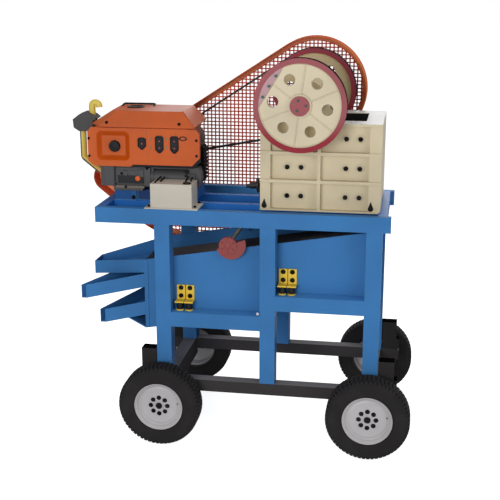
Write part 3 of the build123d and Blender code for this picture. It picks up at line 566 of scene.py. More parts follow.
class Shape:
    """A mesh that is built up in millimetres."""

    def __init__(self):
        self.bm = bmesh.new()

    def face(self, corners):
        try:
            self.bm.faces.new(corners)
        except ValueError:
            pass

    def skin(self, rings, closed=False):
        """Joins rings of points, each the same length, and caps the ends unless they are joined too."""
        rows = [[self.bm.verts.new(p) for p in ring] for ring in rings]
        n = len(rows[0])
        pairs = list(zip(rows, rows[1:])) + ([(rows[-1], rows[0])] if closed else [])
        for a, b in pairs:
            for k in range(n):
                self.face((a[k], a[(k + 1) % n], b[(k + 1) % n], b[k]))
        if not closed:
            self.face(rows[0][::-1])
            self.face(rows[-1])
        return self

    def box(self, x0, x1, y0, y1, z0, z1):
        """A block between two places on each axis."""
        return self.skin([[(x0, y0, z), (x1, y0, z), (x1, y1, z), (x0, y1, z)] for z in (z0, z1)])

    def prism(self, outline, y0, y1):
        """An outline of (x, z) drawn out along Y."""
        return self.skin([[(x, y, z) for x, z in outline] for y in (y0, y1)])

    def ring(self, centre, axis, r, sides):
        across = Vector((0, 0, 1)) if abs(axis.z) < 0.9 else Vector((1, 0, 0))
        u = axis.cross(across).normalized()
        v = axis.cross(u).normalized()
        return [centre + r * (math.cos(a) * u + math.sin(a) * v) for a in turns(sides)]

    def drum(self, start, end, r, r_end, sides):
        start, end = Vector(start), Vector(end)
        axis = (end - start).normalized()
        return self.skin([self.ring(start, axis, r, sides), self.ring(end, axis, r_end, sides)])

    def turned(self, profile, start, axis, sides, closed=False):
        """Turns a profile of (radius, distance along the axis) round that axis."""
        start, axis = Vector(start), Vector(axis).normalized()
        return self.skin([self.ring(start + axis * d, axis, max(r, 0.05), sides) for r, d in profile],
                         closed=closed)

    def tube(self, points, r, sides):
        """A round bar that follows the points."""
        points = [Vector(p) for p in points]
        rings = []
        for k, p in enumerate(points):
            a = points[max(k - 1, 0)]
            b = points[min(k + 1, len(points) - 1)]
            rings.append(self.ring(p, (b - a).normalized(), r, sides))
        return self.skin(rings)

    def done(self, name, material, slot, body=BODY, bevel=0.0, smooth=35.0, segments=2):
        """Ends the shape: a clean mesh in metres, on its body, with rounded edges if a bevel is given."""
        bmesh.ops.remove_doubles(self.bm, verts=self.bm.verts, dist=0.01)
        bmesh.ops.recalc_face_normals(self.bm, faces=self.bm.faces)
        self.bm.transform(TO_METRES)
        mesh = bpy.data.meshes.new(name)
        self.bm.to_mesh(mesh)
        self.bm.free()
        mesh.shade_smooth()
        mesh.set_sharp_from_angle(angle=math.radians(smooth))
        piece = placed(name, mesh)
        if bevel:
            rounding = piece.modifiers.new("rounded edges", "BEVEL")
            rounding.width = bevel / 1000
            rounding.segments = segments
            rounding.limit_method = "ANGLE"
            rounding.angle_limit = math.radians(40)
            rounding.harden_normals = False
        return ride(piece, material, body)


# Repeated pieces, made by Geometry Nodes

class Recipe(Graph):
    """A Geometry Nodes tree with named sizes. cast() runs it on points or lines in millimetres."""

    KINDS = {int: "NodeSocketInt", float: "NodeSocketFloat"}

    def __init__(self, name, **sizes):
        tree = bpy.data.node_groups.new(name, "GeometryNodeTree")
        super().__init__(tree)
        tree.interface.new_socket("Geometry", in_out="INPUT", socket_type="NodeSocketGeometry")
        for label, default in sizes.items():
            socket = tree.interface.new_socket(label.replace("_", " "), in_out="INPUT",
                                               socket_type=self.KINDS[type(default)])
            socket.default_value = default
        tree.interface.new_socket("Material", in_out="INPUT", socket_type="NodeSocketMaterial")
        tree.interface.new_socket("Geometry", in_out="OUTPUT", socket_type="NodeSocketGeometry")
        self.given = tree.nodes.new("NodeGroupInput")

    def size(self, label):
        return Value(self, self.given.outputs[label])

    def vector(self, x, y, z):
        return self.node("ShaderNodeCombineXYZ", inputs={0: x, 1: y, 2: z})

    def place(self, geometry, offset):
        return self.node("GeometryNodeTransform", inputs={"Geometry": geometry, "Translation": offset})

    def join(self, *parts):
        made = self.tree.nodes.new("GeometryNodeJoinGeometry")
        for part in reversed(parts):
            self.tree.links.new(part.socket, made.inputs[0])
        return Value(self, made.outputs[0])

    def end(self, geometry):
        real = self.node("GeometryNodeRealizeInstances", inputs={0: geometry})
        given = self.node("GeometryNodeSetMaterial", inputs={
            "Geometry": real, "Material": self.size("Material")})
        last = self.tree.nodes.new("NodeGroupOutput")
        self.tree.links.new(given.socket, last.inputs[0])
        return self

    def cast(self, name, base, material, slot, body=BODY, smooth=35.0, **sizes):
        """Runs the recipe on a base mesh and keeps the result as a plain mesh."""
        maker = placed(name + "_maker", base)
        modifier = maker.modifiers.new("recipe", "NODES")
        modifier.node_group = self.tree
        sizes["Material"] = material
        for item in self.tree.interface.items_tree:
            label = item.name.replace(" ", "_")
            if item.in_out == "INPUT" and label in sizes:
                modifier[item.identifier] = sizes[label]
        bpy.context.view_layer.update()
        evaluated = maker.evaluated_get(bpy.context.evaluated_depsgraph_get())
        mesh = bpy.data.meshes.new_from_object(evaluated)
        maker.modifiers.remove(modifier)
        bpy.data.objects.remove(maker)
        mesh.name = name
        mesh.transform(TO_METRES)
        mesh.shade_smooth()
        mesh.set_sharp_from_angle(angle=math.radians(smooth))
        return ride(placed(name, mesh), material, body)


def points(places, facing=(0, -1, 0)):
    """Loose points for a recipe. A place may carry its own direction as a second vector."""
    mesh = bpy.data.meshes.new("points")
    spots = [p if len(p) == 2 else (p, facing) for p in places]
    mesh.from_pydata([p for p, _ in spots], [], [])
    way = mesh.attributes.new("facing", "FLOAT_VECTOR", "POINT")
    way.data.foreach_set("vector", [c for _, d in spots for c in d])
    return mesh


def lines(paths, sides):
    """Open polylines for a recipe, each with a side of +1 or -1."""
    mesh = bpy.data.meshes.new("lines")
    verts, edges, marks = [], [], []
    for path, side in zip(paths, sides):
        first = len(verts)
        verts += path
        edges += [(first + i, first + i + 1) for i in range(len(path) - 1)]
        marks += [side] * len(path)
    mesh.from_pydata(verts, edges, [])
    mesh.attributes.new("side", "FLOAT", "POINT").data.foreach_set("value", marks)
    return mesh


def bolt_recipe():
    """Head with a chamfer, on a washer, with the thread's end standing out. Six corners make a hexagon."""
    r = Recipe("bolts", Head_radius=9.0, Head_height=7.0, Washer_radius=14.0, Washer_height=2.0,
               Thread_radius=5.0, Thread_height=3.0, Corners=6)
    head, tall = r.size("Head radius"), r.size("Head height")
    disc, thin = r.size("Washer radius"), r.size("Washer height")
    core, end = r.size("Thread radius"), r.size("Thread height")
    block = r.node("GeometryNodeMeshCylinder", inputs={
        "Vertices": r.size("Corners"), "Radius": head, "Depth": tall * 0.8})
    block = r.place(block, r.vector(0.0, 0.0, thin + tall * 0.4))
    crown = r.node("GeometryNodeMeshCone", inputs={
        "Vertices": r.size("Corners"), "Radius Top": head * 0.8, "Radius Bottom": head, "Depth": tall * 0.2})
    crown = r.place(crown, r.vector(0.0, 0.0, thin + tall * 0.8))
    washer = r.node("GeometryNodeMeshCylinder", inputs={"Vertices": 24, "Radius": disc, "Depth": thin})
    washer = r.place(washer, r.vector(0.0, 0.0, thin * 0.5))
    thread = r.node("GeometryNodeMeshCone", inputs={
        "Vertices": 14, "Radius Top": core * 0.85, "Radius Bottom": core, "Depth": end})
    thread = r.place(thread, r.vector(0.0, 0.0, thin + tall))
    way = r.node("GeometryNodeInputNamedAttribute", {"data_type": "FLOAT_VECTOR"}, {"Name": "facing"})
    turn = r.node("FunctionNodeAlignRotationToVector", {"axis": "Z"}, {"Vector": way})
    spread = r.node("GeometryNodeInstanceOnPoints", inputs={
        "Points": r.size("Geometry"), "Instance": r.join(block, crown, washer, thread), "Rotation": turn})
    return r.end(spread)


def weave_recipe():
    """Crimped wires that pass over and under each other, and cross on whole pitches from the start."""
    r = Recipe("woven wire", Pitch_X=28.0, Pitch_Z=25.0, Start_X=0.0, Start_Z=0.0, Crimp=2.6,
               Wire_radius=2.5, Steps=9.0, Corners=6)
    curve = r.node("GeometryNodeMeshToCurve", inputs={0: r.size("Geometry")})
    curve = r.node("GeometryNodeResampleCurve", {"mode": "LENGTH"}, {
        "Curve": curve, "Length": r.size("Steps")})
    place = r.node("GeometryNodeInputPosition")
    wave = 1.0
    for letter in "XZ":
        reach = r.node("ShaderNodeSeparateXYZ", inputs={0: place}, out=letter) - r.size("Start " + letter)
        wave = reach.sum("COSINE", reach * math.pi / r.size("Pitch " + letter)) * wave
    side = r.node("GeometryNodeInputNamedAttribute", {"data_type": "FLOAT"}, {"Name": "side"})
    shift = wave * side * r.size("Crimp")
    curve = r.node("GeometryNodeSetPosition", inputs={
        "Geometry": curve, "Offset": r.vector(0.0, shift, 0.0)})
    ring = r.node("GeometryNodeCurvePrimitiveCircle", inputs={
        "Resolution": r.size("Corners"), "Radius": r.size("Wire radius")})
    return r.end(r.node("GeometryNodeCurveToMesh", inputs={
        "Curve": curve, "Profile Curve": ring, "Fill Caps": True}))


def tread_recipe():
    """One lug, whose outline is the base mesh, repeated round the wheel's axis."""
    r = Recipe("tyre tread", Lugs=54, Centre_X=0.0, Centre_Z=260.0)
    lugs = r.size("Lugs")
    line = r.node("GeometryNodeMeshLine", inputs={"Count": lugs, "Offset": (0.0, 0.0, 0.0)})
    turn = r.node("GeometryNodeInputIndex") * (2 * math.pi) / lugs
    spin = r.node("FunctionNodeEulerToRotation", inputs={0: r.vector(0.0, turn, 0.0)})
    ring = r.node("GeometryNodeInstanceOnPoints", inputs={
        "Points": line, "Instance": r.size("Geometry"), "Rotation": spin})
    return r.end(r.place(ring, r.vector(r.size("Centre X"), 0.0, r.size("Centre Z"))))


BOLTS, WEAVE, TREAD = bolt_recipe(), weave_recipe(), tread_recipe()


def bolts(name, places, material, slot, head, washer, thread=(5.0, 3.0), body=BODY,
          facing=(0, -1, 0), corners=6):
    """Bolts at places; head, washer and thread are each a radius and a height."""
    BOLTS.cast(name, points(places, facing), material, slot, body, Head_radius=head[0], Head_height=head[1],
               Washer_radius=washer[0], Washer_height=washer[1], Thread_radius=thread[0],
               Thread_height=thread[1], Corners=corners)


def both_sides(places, y):
    """The same places on the front wall and, mirrored, on the rear wall, with their directions."""
    return [((x, -y, z), (0, -1, 0)) for x, z in places] + [((x, y, z), (0, 1, 0)) for x, z in places]


# Wheels

TREAD_R, TREAD_LOW = 269.6, 261.0
LUG_COUNT = 60
LUG_STEP = 2 * math.pi / LUG_COUNT
NUT_CIRCLE_R, NUT_COUNT = 55.0, 8


def lug(shape, y0, y1, skew, width):
    """A tread block out to TREAD_R. Its width, and the skew of its outer end, are shares of a step."""
    corners = [(y, (shift + edge * width) * LUG_STEP)
               for y, shift in ((y0, 0.0), (y1, skew)) for edge in (-0.5, 0.5)]
    mid = sum(a for _, a in corners) / 4
    rings = []
    for r, grow in ((TREAD_LOW - 3, 1.12), (TREAD_R, 0.92)):
        ring = []
        for y, a in (corners[0], corners[1], corners[3], corners[2]):
            a = mid + (a - mid) * grow
            ring.append((r * math.sin(a), y, r * math.cos(a)))
        rings.append(ring)
    shape.skin(rings)


def shoulder(shape, y_in, y_out, side, shift, width):
    """A block that wraps from the tread over the shoulder."""
    path = [(TREAD_R, y_in), (TREAD_R - 0.4, y_out - side * 17), (TREAD_R - 4.5, y_out - side * 7.5),
            (254.0, y_out - side * 2.0), (250.0, y_out - side * 2.2)]
    low = [(TREAD_LOW - 3, y_in), (TREAD_LOW - 3, y_out - side * 19), (255.0, y_out - side * 13.5),
           (250.0, y_out - side * 9.0), (247.0, y_out - side * 6.0)]
    rings = []
    for edge in (-0.5, 0.5):
        a = (shift + edge * width) * LUG_STEP
        rings.append([(r * math.sin(a), y, r * math.cos(a)) for r, y in path + low[::-1]])
    shape.skin(rings)


def tyre_profile():
    """(radius, distance from the tyre's middle) round the carcass, with one groove on each side."""
    half = [(155.2, -56.5), (160, -63), (165, -67.3), (175, -70.2), (179, -71.2), (183, -70.4),
            (197, -72.2), (232, -72.2), (235, -72.4), (238, -72.2), (241, -70.8), (250, -68.6),
            (256.5, -65.5), (260.5, -59), (TREAD_LOW + 2, -50), (TREAD_LOW, -40), (TREAD_LOW, -15),
            (TREAD_LOW - 4, -13), (TREAD_LOW - 4, -9), (TREAD_LOW, -7)]
    return half + [(r, -y) for r, y in half[::-1]]


def tyre(end, side_name):
    """The dressed tyre of one wheel, with its valve, wheel nuts and axle cap."""
    sign = -1 if end == "front" else 1
    mid = sign * WHEEL_MID_Y
    out = mid + sign * TYRE_HALF_W
    body = f"wheel_{end}_{side_name}"
    name = f"tyre_{end}_{side_name}"
    cx = AXLES_X[side_name]
    carcass = Shape().turned(tyre_profile(), (cx, mid, WHEEL_Z), (0, 1, 0), sides=108, closed=True)
    piece = carcass.done(name + "_carcass", TYRE, "tyre_rubber", body, smooth=32)
    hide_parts(name)
    lugs = Shape()
    for s in (-1, 1):
        lug(lugs, mid + s * 2.0, mid + s * 22, 0.34, 0.74)
        lug(lugs, mid + s * 24.5, mid + s * 45, 0.3, 0.72)
        shoulder(lugs, mid + s * 47, mid + s * TYRE_HALF_W, s, 0.55, 0.7)
    bmesh.ops.recalc_face_normals(lugs.bm, faces=lugs.bm.faces)
    base = bpy.data.meshes.new("lugs")
    lugs.bm.to_mesh(base)
    lugs.bm.free()
    TREAD.cast(name + "_tread", base, TYRE, "tyre_rubber", body, smooth=30,
               Lugs=LUG_COUNT, Centre_X=cx, Centre_Z=WHEEL_Z)
    stem = [(cx + dx, out - sign * deep, WHEEL_Z + dz) for dx, deep, dz in (
        (128, 44, 20), (126, 34, 20), (122, 22, 19))]
    valve = Shape().tube(stem, 3.2, 8)
    valve.done(name + "_valve", BLACK, "tyre_rubber", body)
    nuts = [((cx + NUT_CIRCLE_R * math.cos(a), out - sign * 28.2, WHEEL_Z + NUT_CIRCLE_R * math.sin(a)),
             (0, sign, 0)) for a in turns(NUT_COUNT)]
    bolts(name + "_wheel_nuts", nuts, BLACK, "jaw_steel", head=(13.0, 4.0), washer=(15.5, 1.5),
          thread=(5.0, 2.0), body=body)
    cap = Shape().turned([(20.5, 0), (20.5, 2), (17, 5), (9, 5.5), (7, 3.5), (0.1, 3.5)],
                         (cx, out - sign * 22, WHEEL_Z), (0, sign, 0), 28)
    cap.done(name + "_axle_cap", BLACK, "jaw_steel", body)


for end in ("front", "rear"):
    for side_name in ("left", "right"):
        tyre(end, side_name)


# Guard mesh

GUARD_Y = 552.5
GUARD_PITCH = (28.0, 25.35)      # along X and up
GUARD_START = (-0.58, 18.41)     # a wire's place, along X and up
SHORTEST_WIRE = 20.0


def hull(spots):
    """The outline that a tight band would take round the spots."""
    spots = sorted(set((round(x, 4), round(z, 4)) for x, z in spots))

    def chain(run):
        out = []
        for p in run:
            while len(out) > 1 and ((out[-1][0] - out[-2][0]) * (p[1] - out[-2][1])
                                    - (out[-1][1] - out[-2][1]) * (p[0] - out[-2][0])) <= 0:
                out.pop()
            out.append(p)
        return out[:-1]
    return chain(spots) + chain(spots[::-1])


def arc_points(centre, r, a0, a1, n):
    cx, cz = centre
    return [(cx + r * math.cos(a0 + (a1 - a0) * k / n), cz + r * math.sin(a0 + (a1 - a0) * k / n))
            for k in range(n + 1)]


def guard_outline(inset):
    """The guard's outline: a band round four arcs, drawn in by the inset."""
    head, foot, tip, sweep = (383, 2224), (-144.0, 1285.0), (-1117.0, 1563.0), (-234.0, 2192.5)
    head_r, tip_r, sweep_r = 360, 105, 1150
    foot_r = sweep_r - math.dist(sweep, foot)
    start = math.atan2(tip[1] - sweep[1], tip[0] - sweep[0]) + math.radians(4)
    end = math.atan2(foot[1] - sweep[1], foot[0] - sweep[0])
    spots = arc_points(head, head_r - inset, 0, 2 * math.pi, 180)
    spots += arc_points(foot, foot_r - inset, 0, 2 * math.pi, 90)
    spots += arc_points(tip, tip_r - inset, 0, 2 * math.pi, 60)
    spots += arc_points(sweep, sweep_r - inset, start, end, 60)
    return hull(spots)


def span(outline, k, value):
    """Lowest and highest crossing of the outline with a line where coordinate k equals value."""
    hits = []
    for a, b in zip(outline, outline[1:] + outline[:1]):
        if (a[k] - value) * (b[k] - value) < 0:
            t = (value - a[k]) / (b[k] - a[k])
            hits.append(a[1 - k] + t * (b[1 - k] - a[1 - k]))
    return (min(hits), max(hits)) if len(hits) > 1 else None


def resampled(outline, n):
    """n points spaced evenly round a closed outline, from its rightmost point on."""
    first = max(range(len(outline)), key=lambda i: outline[i][0])
    loop = outline[first:] + outline[:first]
    loop = loop + [loop[0]]
    reach = [0.0]
    for a, b in zip(loop, loop[1:]):
        reach.append(reach[-1] + math.hypot(b[0] - a[0], b[1] - a[1]))
    out, k = [], 0
    for i in range(n):
        d = reach[-1] * i / n
        while reach[k + 1] < d:
            k += 1
        t = (d - reach[k]) / (reach[k + 1] - reach[k])
        (x0, z0), (x1, z1) = loop[k:k + 2]
        out.append((x0 + t * (x1 - x0), z0 + t * (z1 - z0)))
    return out


def guard_wires():
    """The woven wires, cut to the guard's outline, and the thin border that holds their ends."""
    outline = guard_outline(34.0)
    paths, sides = [], []
    for k, mark in ((0, 1.0), (1, -1.0)):
        low = math.ceil((min(p[k] for p in outline) - GUARD_START[k]) / GUARD_PITCH[k])
        high = math.floor((max(p[k] for p in outline) - GUARD_START[k]) / GUARD_PITCH[k])
        for i in range(low, high + 1):
            place = GUARD_START[k] + i * GUARD_PITCH[k]
            ends = span(outline, k, place)
            if ends and ends[1] - ends[0] > SHORTEST_WIRE:
                pair = [(place, e) if k == 0 else (e, place) for e in ends]
                paths.append([(x, GUARD_Y, z) for x, z in pair])
                sides.append(mark)
    piece = WEAVE.cast("guard_wire_mesh", lines(paths, sides), MESH, "guard_red", smooth=60,
                       Pitch_X=GUARD_PITCH[0], Pitch_Z=GUARD_PITCH[1], Start_X=GUARD_START[0],
                       Start_Z=GUARD_START[1], Crimp=1.9, Wire_radius=4.8, Steps=9.0, Corners=6)
    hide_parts("guard_mesh")
    border = Shape()
    rows = []
    for inset, dy in ((33.0, -2.2), (33.0, 2.2), (37.0, 2.2), (37.0, -2.2)):
        rows.append([(x, GUARD_Y + dy, z) for x, z in resampled(guard_outline(inset), 240)])
    border.skin(rows, closed=True)
    border.done("guard_mesh_border", GUARD, "guard_red")


guard_wires()


# Crusher

WALL_Y, POST_Y = 292.0, 326.0       # outsides of the crusher's walls and of its posts
wall_bolts = [(x, z) for z in (1632, 1816, 2002) for x in (292, 380, 660.5, 747.5)]
bolts("crusher_wall_washers", both_sides(wall_bolts, WALL_Y), CRUSHER, "crusher_cream",
      head=(20.0, 1.5), washer=(27.0, 4.0), thread=(5.0, 0.5), corners=24)
bolts("crusher_wall_bolts", both_sides(wall_bolts, WALL_Y + 5.5), BLACK, "jaw_steel",
      head=(15.5, 12.0), washer=(15.0, 1.5), thread=(8.0, 5.0))


def drop_outline(x, z, r, tall):
    """A slot that is round below and pointed above."""
    return [(x + r * math.cos(a), z + r * math.sin(a))
            for a in (math.radians(-210 + 240 * k / 20) for k in range(21))] + [(x, z + tall)]


anchors = Shape()
anchor_bolts = []
for x in (150.0, 823.0):
    for s in (-1, 1):
        anchors.prism(drop_outline(x, 1569.0, 17.0, 46.0), s * POST_Y, s * (POST_Y + 2.5))
        anchor_bolts.append(((x, s * (POST_Y + 2), 1571.0), (0, s, 0)))
anchors.done("crusher_anchor_plates", BLACK, "jaw_steel", bevel=0.8)
bolts("crusher_anchor_bolts", anchor_bolts, BLACK, "jaw_steel", head=(13.0, 10.0), washer=(14.0, 2.0))

CAP_Y, WEIGHT_Y = -490.0, -489.0    # front faces of the hub cap and the balance weight
cap_bolts = [(377.0, CAP_Y, 2254.0), (424.3, CAP_Y, 2225.1), (371.1, CAP_Y, 2194.1)]
bolts("flywheel_cap_bolts", cap_bolts, GREEN, "shaft_steel", head=(7.5, 6.0), washer=(8.0, 1.0),
      thread=(3.0, 1.0), body="crusher_drive")
weight_bolts = [(240.6, WEIGHT_Y, 2400.0), (199.3, WEIGHT_Y, 2338.9), (160.7, WEIGHT_Y, 2273.2)]
bolts("balance_weight_bolts", weight_bolts, GREEN, "shaft_steel", head=(8.0, 2.0), washer=(9.0, 0.5),
      thread=(3.0, 0.5), body="crusher_drive")


# Engine

HOUSE_Y = -240.0                    # the front panel's face
LID_OUT = (0.0, -0.7526, 0.6585)    # straight out of the lid's sloping front
KNOB_X, KNOB_Z, KNOB_GRIPS = -852.2, 1906.5, 18
panel_screws = [(x, HOUSE_Y, z) for x, z in (
    (-1023.5, 1955), (-1023.5, 1840), (-304.5, 1957), (-304.5, 1857))]
bolts("engine_panel_screws", panel_screws, BLACK, "engine_grey", head=(7.0, 4.0), washer=(9.0, 1.0),
      thread=(5.0, 0.4), corners=16)
bolts("engine_lid_screws", [(-900.4, -232.7, 2060.5), (-417.6, -233.5, 2059.6)], BLACK, "engine_grey",
      head=(9.0, 4.0), washer=(11.0, 1.0), thread=(5.0, 0.4), facing=LID_OUT, corners=16)

knob = Shape()
knob.turned([(37, 0), (38, 3), (36, 6), (35, 8), (35, 20), (32, 24), (22, 25), (20, 22), (6, 22), (0.1, 24)],
            (KNOB_X, -224.0, KNOB_Z), (0, -1, 0), sides=36)
knob.done("engine_fuel_knob", GRIP, "cover_black", bevel=0.8)
knurls = Shape()
for a in turns(KNOB_GRIPS):
    x, z = KNOB_X + 35.2 * math.cos(a), KNOB_Z + 35.2 * math.sin(a)
    knurls.drum((x, -230, z), (x, -245, z), 2.6, 2.6, 8)
knurls.done("engine_knob_grips", GRIP, "cover_black")


def outlet_outline(x, z, half_w, half_h, cut):
    """Cut corners above, and a point with a flat end below."""
    shoulder_z, neck = z - half_h + half_w * 0.8, half_w * 0.2
    return [(x - half_w, z + half_h - cut), (x - half_w + cut, z + half_h), (x + half_w - cut, z + half_h),
            (x + half_w, z + half_h - cut), (x + half_w, shoulder_z),
            (x + neck, z - half_h), (x - neck, z - half_h), (x - half_w, shoulder_z)]


def scaled(outline, k):
    cx = sum(p[0] for p in outline) / len(outline)
    cz = sum(p[1] for p in outline) / len(outline)
    return [(cx + (x - cx) * k, cz + (z - cz) * k) for x, z in outline]


def raised(outline, steps):
    """Rings for a casting on the engine's panel: steps hold (scale of the outline, height)."""
    return [[(x, HOUSE_Y - height, z) for x, z in scaled(outline, k)] for k, height in steps]


outlets = Shape()
pins = Shape()
for x, z, half_h, pin_places in ((-665.4, 1929, 40, (0,)), (-548.8, 1926, 57, (-22, 22)),
                                 (-449.3, 1926, 57, (-22, 22))):
    outlets.skin(raised(outlet_outline(x, z, 28, half_h, 11),
                        ((1.0, 0), (1.0, 5), (0.86, 6.5), (0.8, 2.5), (0.1, 2.0))))
    for dz in pin_places:
        pins.drum((x, HOUSE_Y - 1, z + dz), (x, HOUSE_Y - 4.4, z + dz), 6.5, 6, 16)
outlets.done("engine_outlets", GRIP, "cover_black")
pins.done("engine_outlet_discs", RED, "guard_red")
oval = [(-391.8 + 26 * math.cos(a), 1967.5 + 15 * math.sin(a)) for a in turns(32)]
gauge = Shape().skin(raised(oval, ((1.0, 0), (1.0, 3.5), (0.62, 3.5), (0.62, 0))), closed=True)
gauge.done("engine_gauge_ring", GRIP, "cover_black", bevel=0.6)

marks = Shape()
for x, half_w, z0, z1 in (
        (-605.5, 5.5, 1896, 1918), (-605.5, 5.5, 1951, 1973),
        (-502.0, 5.5, 1896, 1918), (-502.0, 5.5, 1951, 1973),
        (-635, 2.5, 1989, 2014), (-632, 2.5, 1842, 1882), (-440, 2.5, 1988, 2012), (-438, 2.5, 1842, 1856)):
    marks.box(x - half_w, x + half_w, HOUSE_Y - 0.8, HOUSE_Y + 1, z0, z1)
marks.done("engine_panel_marks", TAN, "box_greige")

handle_path = [(-880, 62, 2126), (-879, 72, 2134), (-878, 100, 2140), (-876, 118, 2142), (-868, 124, 2142),
               (-700, 128, 2142), (-672, 126, 2142), (-664, 118, 2141), (-664, 96, 2138), (-664, 84, 2127)]
handle = Shape().tube(handle_path, 6.5, 12)
handle.done("engine_lid_handle", GRIP, "cover_black", smooth=60)
grip_rings = []
for lift, k in ((0.0, 1.0), (5.0, 1.0), (8.0, 0.86), (3.0, 0.72)):
    row = []
    for a in turns(32):
        along = 56 * (abs(math.cos(a)) ** 0.55) * math.copysign(1, math.cos(a)) * k
        across = 52 * (abs(math.sin(a)) ** 0.7) * math.copysign(1, math.sin(a)) * k
        row.append(Vector((-772.0 + along, 22.0 + across, 2131.0 + lift)))
    grip_rings.append(row)
grip = Shape().skin(grip_rings)
grip.done("engine_lid_grip", GRIP, "cover_black")

castings = Shape()
castings.box(-842, -694, -225, -219, 1717, 1747)
castings.turned([(19, 0), (19, 4), (15, 6), (15, 2), (0.1, 2)], (-787, -224, 1728), (0, -1, 0), 24)
castings.box(-696, -662, -232, -219, 1706, 1752)
castings.box(-659, -617, -234, -205, 1645, 1768)
castings.box(-945, -936, -221, -217, 1652, 1764)
castings.done("engine_front_castings", ENGINE, "engine_grey", bevel=2.5, segments=3)
cover_panel = Shape().box(-842, -664, -223, -219, 1662, 1712)
cover_panel.box(-866, -852, -222, -216, 1648, 1770)
cover_panel.done("engine_cover_panel", DARK_CAST, "engine_grey", bevel=1.5)
button = Shape().turned([(18, 0), (18, 5), (14, 9), (0.1, 10)], (-704.0, -223, 1695.0), (0, -1, 0), 24)
button.done("engine_stop_button", BUTTON, "engine_orange")
foot = Shape().box(-851, -659, -236, -226, 1630, 1648)
foot.done("engine_foot_plate", FOOT, "engine_grey", bevel=1.5)
foot_bolts = [(-784.0, -236.0, 1639.0), (-813.0, -224.0, 1726.0), (-638.0, -234.0, 1766.0),
              (-380.0, -226.0, 1722.0)]
bolts("engine_foot_bolts", foot_bolts, BLACK, "engine_grey", head=(7.5, 4.0), washer=(9.5, 2.0))
BOX_RING = (-338, -384, 1703.2)
hooks = Shape()
for path in ([(-534, -270, 1723), (-549, -300, 1709), (-552, -345, 1706), (-545, -392, 1706)],
             [(-512, -270, 1718), (-522, -300, 1708), (-520, -350, 1706)],
             [(-352, -270, 1729), (-363, -300, 1708), (-354, -343, 1706)],
             [(-325, -270, 1724), (-330, -300, 1712), (-326, -315, 1707)]):
    hooks.tube(path, 5.5, 8)
hooks.turned([(18, 0), (18, 7), (26, 7), (26, 0)], BOX_RING, (0, 0, 1), 28, closed=True)
hooks.turned([(14, 0), (14, 6), (11, 8), (0.1, 8)], (-374, -222, 1750), (0, -1, 0), 20)
hooks.done("engine_wire_hooks", BLACK, "cover_black", smooth=60)

ring = Shape().turned([(17.5, 0), (17.5, 3), (14, 5), (0.1, 5)], BOX_RING, (0, 0, 1), 28)
ring.done("base_box_ring", ZINC, "shaft_steel", bevel=1.0)
box_bolts = [(x, y, DECK_TOP + 8) for x, y in ((-592.0, -379.0), (-292.0, -367.0), (-292.0, -235.0),
                                               (-592.0, -262.0))]
bolts("base_box_bolts", box_bolts, BLACK, "engine_grey", head=(9.0, 7.0), washer=(12.0, 2.0),
      facing=(0, 0, 1))
bolts("plinth_bolts", [(-742.0, -206.0, 1564.0)], BLACK, "engine_grey", head=(12.0, 8.0),
      washer=(14.0, 2.0))


# Spring mounts

mount_bolts = []
ribs = Shape()
for cx, beam in MOUNTS:
    for s in (-1, 1):
        for dx in (-30, 30):
            for dz in (86, 141):
                mount_bolts.append(((cx + dx, s * 330.0, beam + dz), (0, s, 0)))
            for dz in (15, 25, 35, 45):
                ribs.turned([(20, 0), (23.5, 1.4), (23.5, 3.2), (20, 4.6)], (cx + dx, s * 366, beam + dz),
                            (0, 0, 1), 24)
bolts("spring_mount_bolts", mount_bolts, BLACK, "cover_black", head=(13.0, 8.0), washer=(16.0, 2.0),
      thread=(6.0, 3.0))
ribs.done("spring_ribs", BELT, "belt_rubber", smooth=50)


# Stand, trolley and screen details

bolts("stand_side_bolts", both_sides([(124.0, 871.0)], HALF_W), ZINC, "shaft_steel", head=(7.5, 5.0),
      washer=(9.5, 2.0))
flap = Shape().skin([[(-652, -268, 1158 + t), (-600, -268, 1160 + t), (-606, -268, 1210 + t),
                      (-676, 250, 1083 + t)] for t in (0, 4)])
flap.done("chute_rubber_flap", BELT, "screen_black")
strips = Shape()
for s in (-1, 1):
    strips.box(-652, -626, s * 324, s * 320, 704, 1172)
strips.done("screen_end_strips", FRAME, "frame_blue", bevel=1.0)
bolts("trolley_post_bolts", [(1024.0, s * 346.0, 389.0) for s in (-1, 1)], DULL_BOLT, "shaft_steel",
      head=(9.0, 4.0), washer=(11.0, 2.0), facing=(1, 0, 0))

EXC_DISC_Y, EXC_BOLT_R = 376.0, 42.0
exciter_bolts = [(EXCITER[0] + EXC_BOLT_R * math.cos(a), EXCITER[1] + EXC_BOLT_R * math.sin(a))
                 for a in turns(6, 30)]
bolts("exciter_bolts", both_sides(exciter_bolts, EXC_DISC_Y), RED, "exciter_red", head=(5.0, 1.6),
      washer=(6.0, 0.5), thread=(2.5, 0.5), body="screen_drive")
hub = Shape()
for s in (-1, 1):
    hub.turned([(22, 0), (22, 2), (19, 3.5), (0.1, 3.5)], (EXCITER[0], s * EXC_DISC_Y, EXCITER[1]),
               (0, s, 0), 32)
hub.done("exciter_hub_caps", RED, "exciter_red", "screen_drive", bevel=0.8)


# Camera, light and floor

def camera():
    """The camera, as fitted to the photograph."""
    piece = bpy.data.objects.new("camera", bpy.data.cameras.new("camera"))
    bpy.context.scene.collection.objects.link(piece)
    piece.location = (1.05454 + DECK_X, -6.38685, 2.96600 + LIFT)
    piece.rotation_euler = (math.radians(90 - 15.4399), 0, math.radians(9.3301))
    piece.data.lens = 71.0
    piece.data.clip_end = 200
    bpy.context.scene.camera = piece


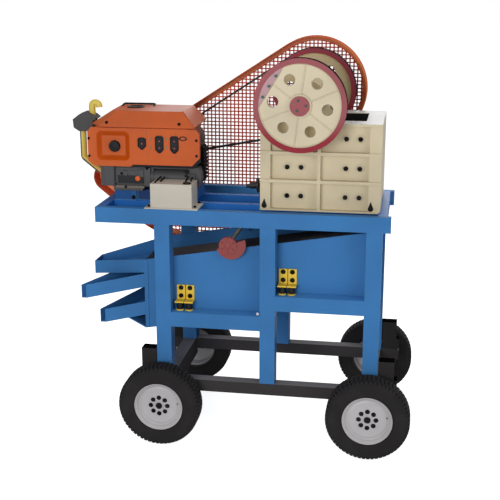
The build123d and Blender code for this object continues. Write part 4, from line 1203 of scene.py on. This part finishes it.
def lamp(name, place, size, power):
    """A square lamp that looks at the machine's middle."""
    data = bpy.data.lights.new(name, "AREA")
    data.shape, data.size, data.energy = "SQUARE", size, power
    light = bpy.data.objects.new(name, data)
    bpy.context.scene.collection.objects.link(light)
    light.location = place
    light.rotation_euler = (Vector((0, 0, 1.2)) - Vector(place)).to_track_quat("-Z", "Y").to_euler()


def sky():
    """White where it is seen, half as bright in reflections, and dim where it only gives light."""
    world = bpy.data.worlds.new("world")
    world.use_nodes = True
    bpy.context.scene.world = world
    g = Graph(world.node_tree)
    back = world.node_tree.nodes["Background"]
    direct, mirrored, through = (g.node("ShaderNodeLightPath", out=out) for out in (
        "Is Camera Ray", "Is Glossy Ray", "Is Transmission Ray"))
    g.put((1, 1, 1, 1), back.inputs["Color"])
    g.put(direct.most(mirrored * 0.5).most(through).most(0.28), back.inputs["Strength"])


def ground():
    """A wide pale floor that glows where it is seen, and half as much in reflections."""
    far = 60.0
    corners = [(-far, -far, 0), (far, -far, 0), (far, far, 0), (-far, far, 0)]
    mesh = bpy.data.meshes.new("floor")
    mesh.from_pydata(corners, [], [(0, 1, 2, 3)])
    f = Finish("pale floor")
    speck = f.noise(3.0, 3.0)
    direct, mirrored = (f.node("ShaderNodeLightPath", out=out) for out in ("Is Camera Ray", "Is Glossy Ray"))
    f.set(Base_Color=f.mix(speck * 0.1, (0.80, 0.80, 0.80, 1), (0.76, 0.76, 0.76, 1)), Roughness=0.6,
          Specular_IOR_Level=0.1, Emission_Strength=1.0,
          Emission_Color=f.mix(direct.most(mirrored * 0.5), (0, 0, 0, 1), (0.84, 0.84, 0.84, 1)))
    mesh.materials.append(f.material)
    return placed("floor", mesh)


camera()
lamp("key", (-1.2, -7.2, 3.0), 3.0, 225)
lamp("fill", (5.5, -4.0, 2.6), 3.0, 72)
lamp("top", (0.5, 0.5, 6.5), 4.0, 60)
lamp("back", (0.5, 6.0, 3.5), 3.5, 110)
sky()
floor = ground()
bpy.context.scene.view_settings.view_transform = "Standard"
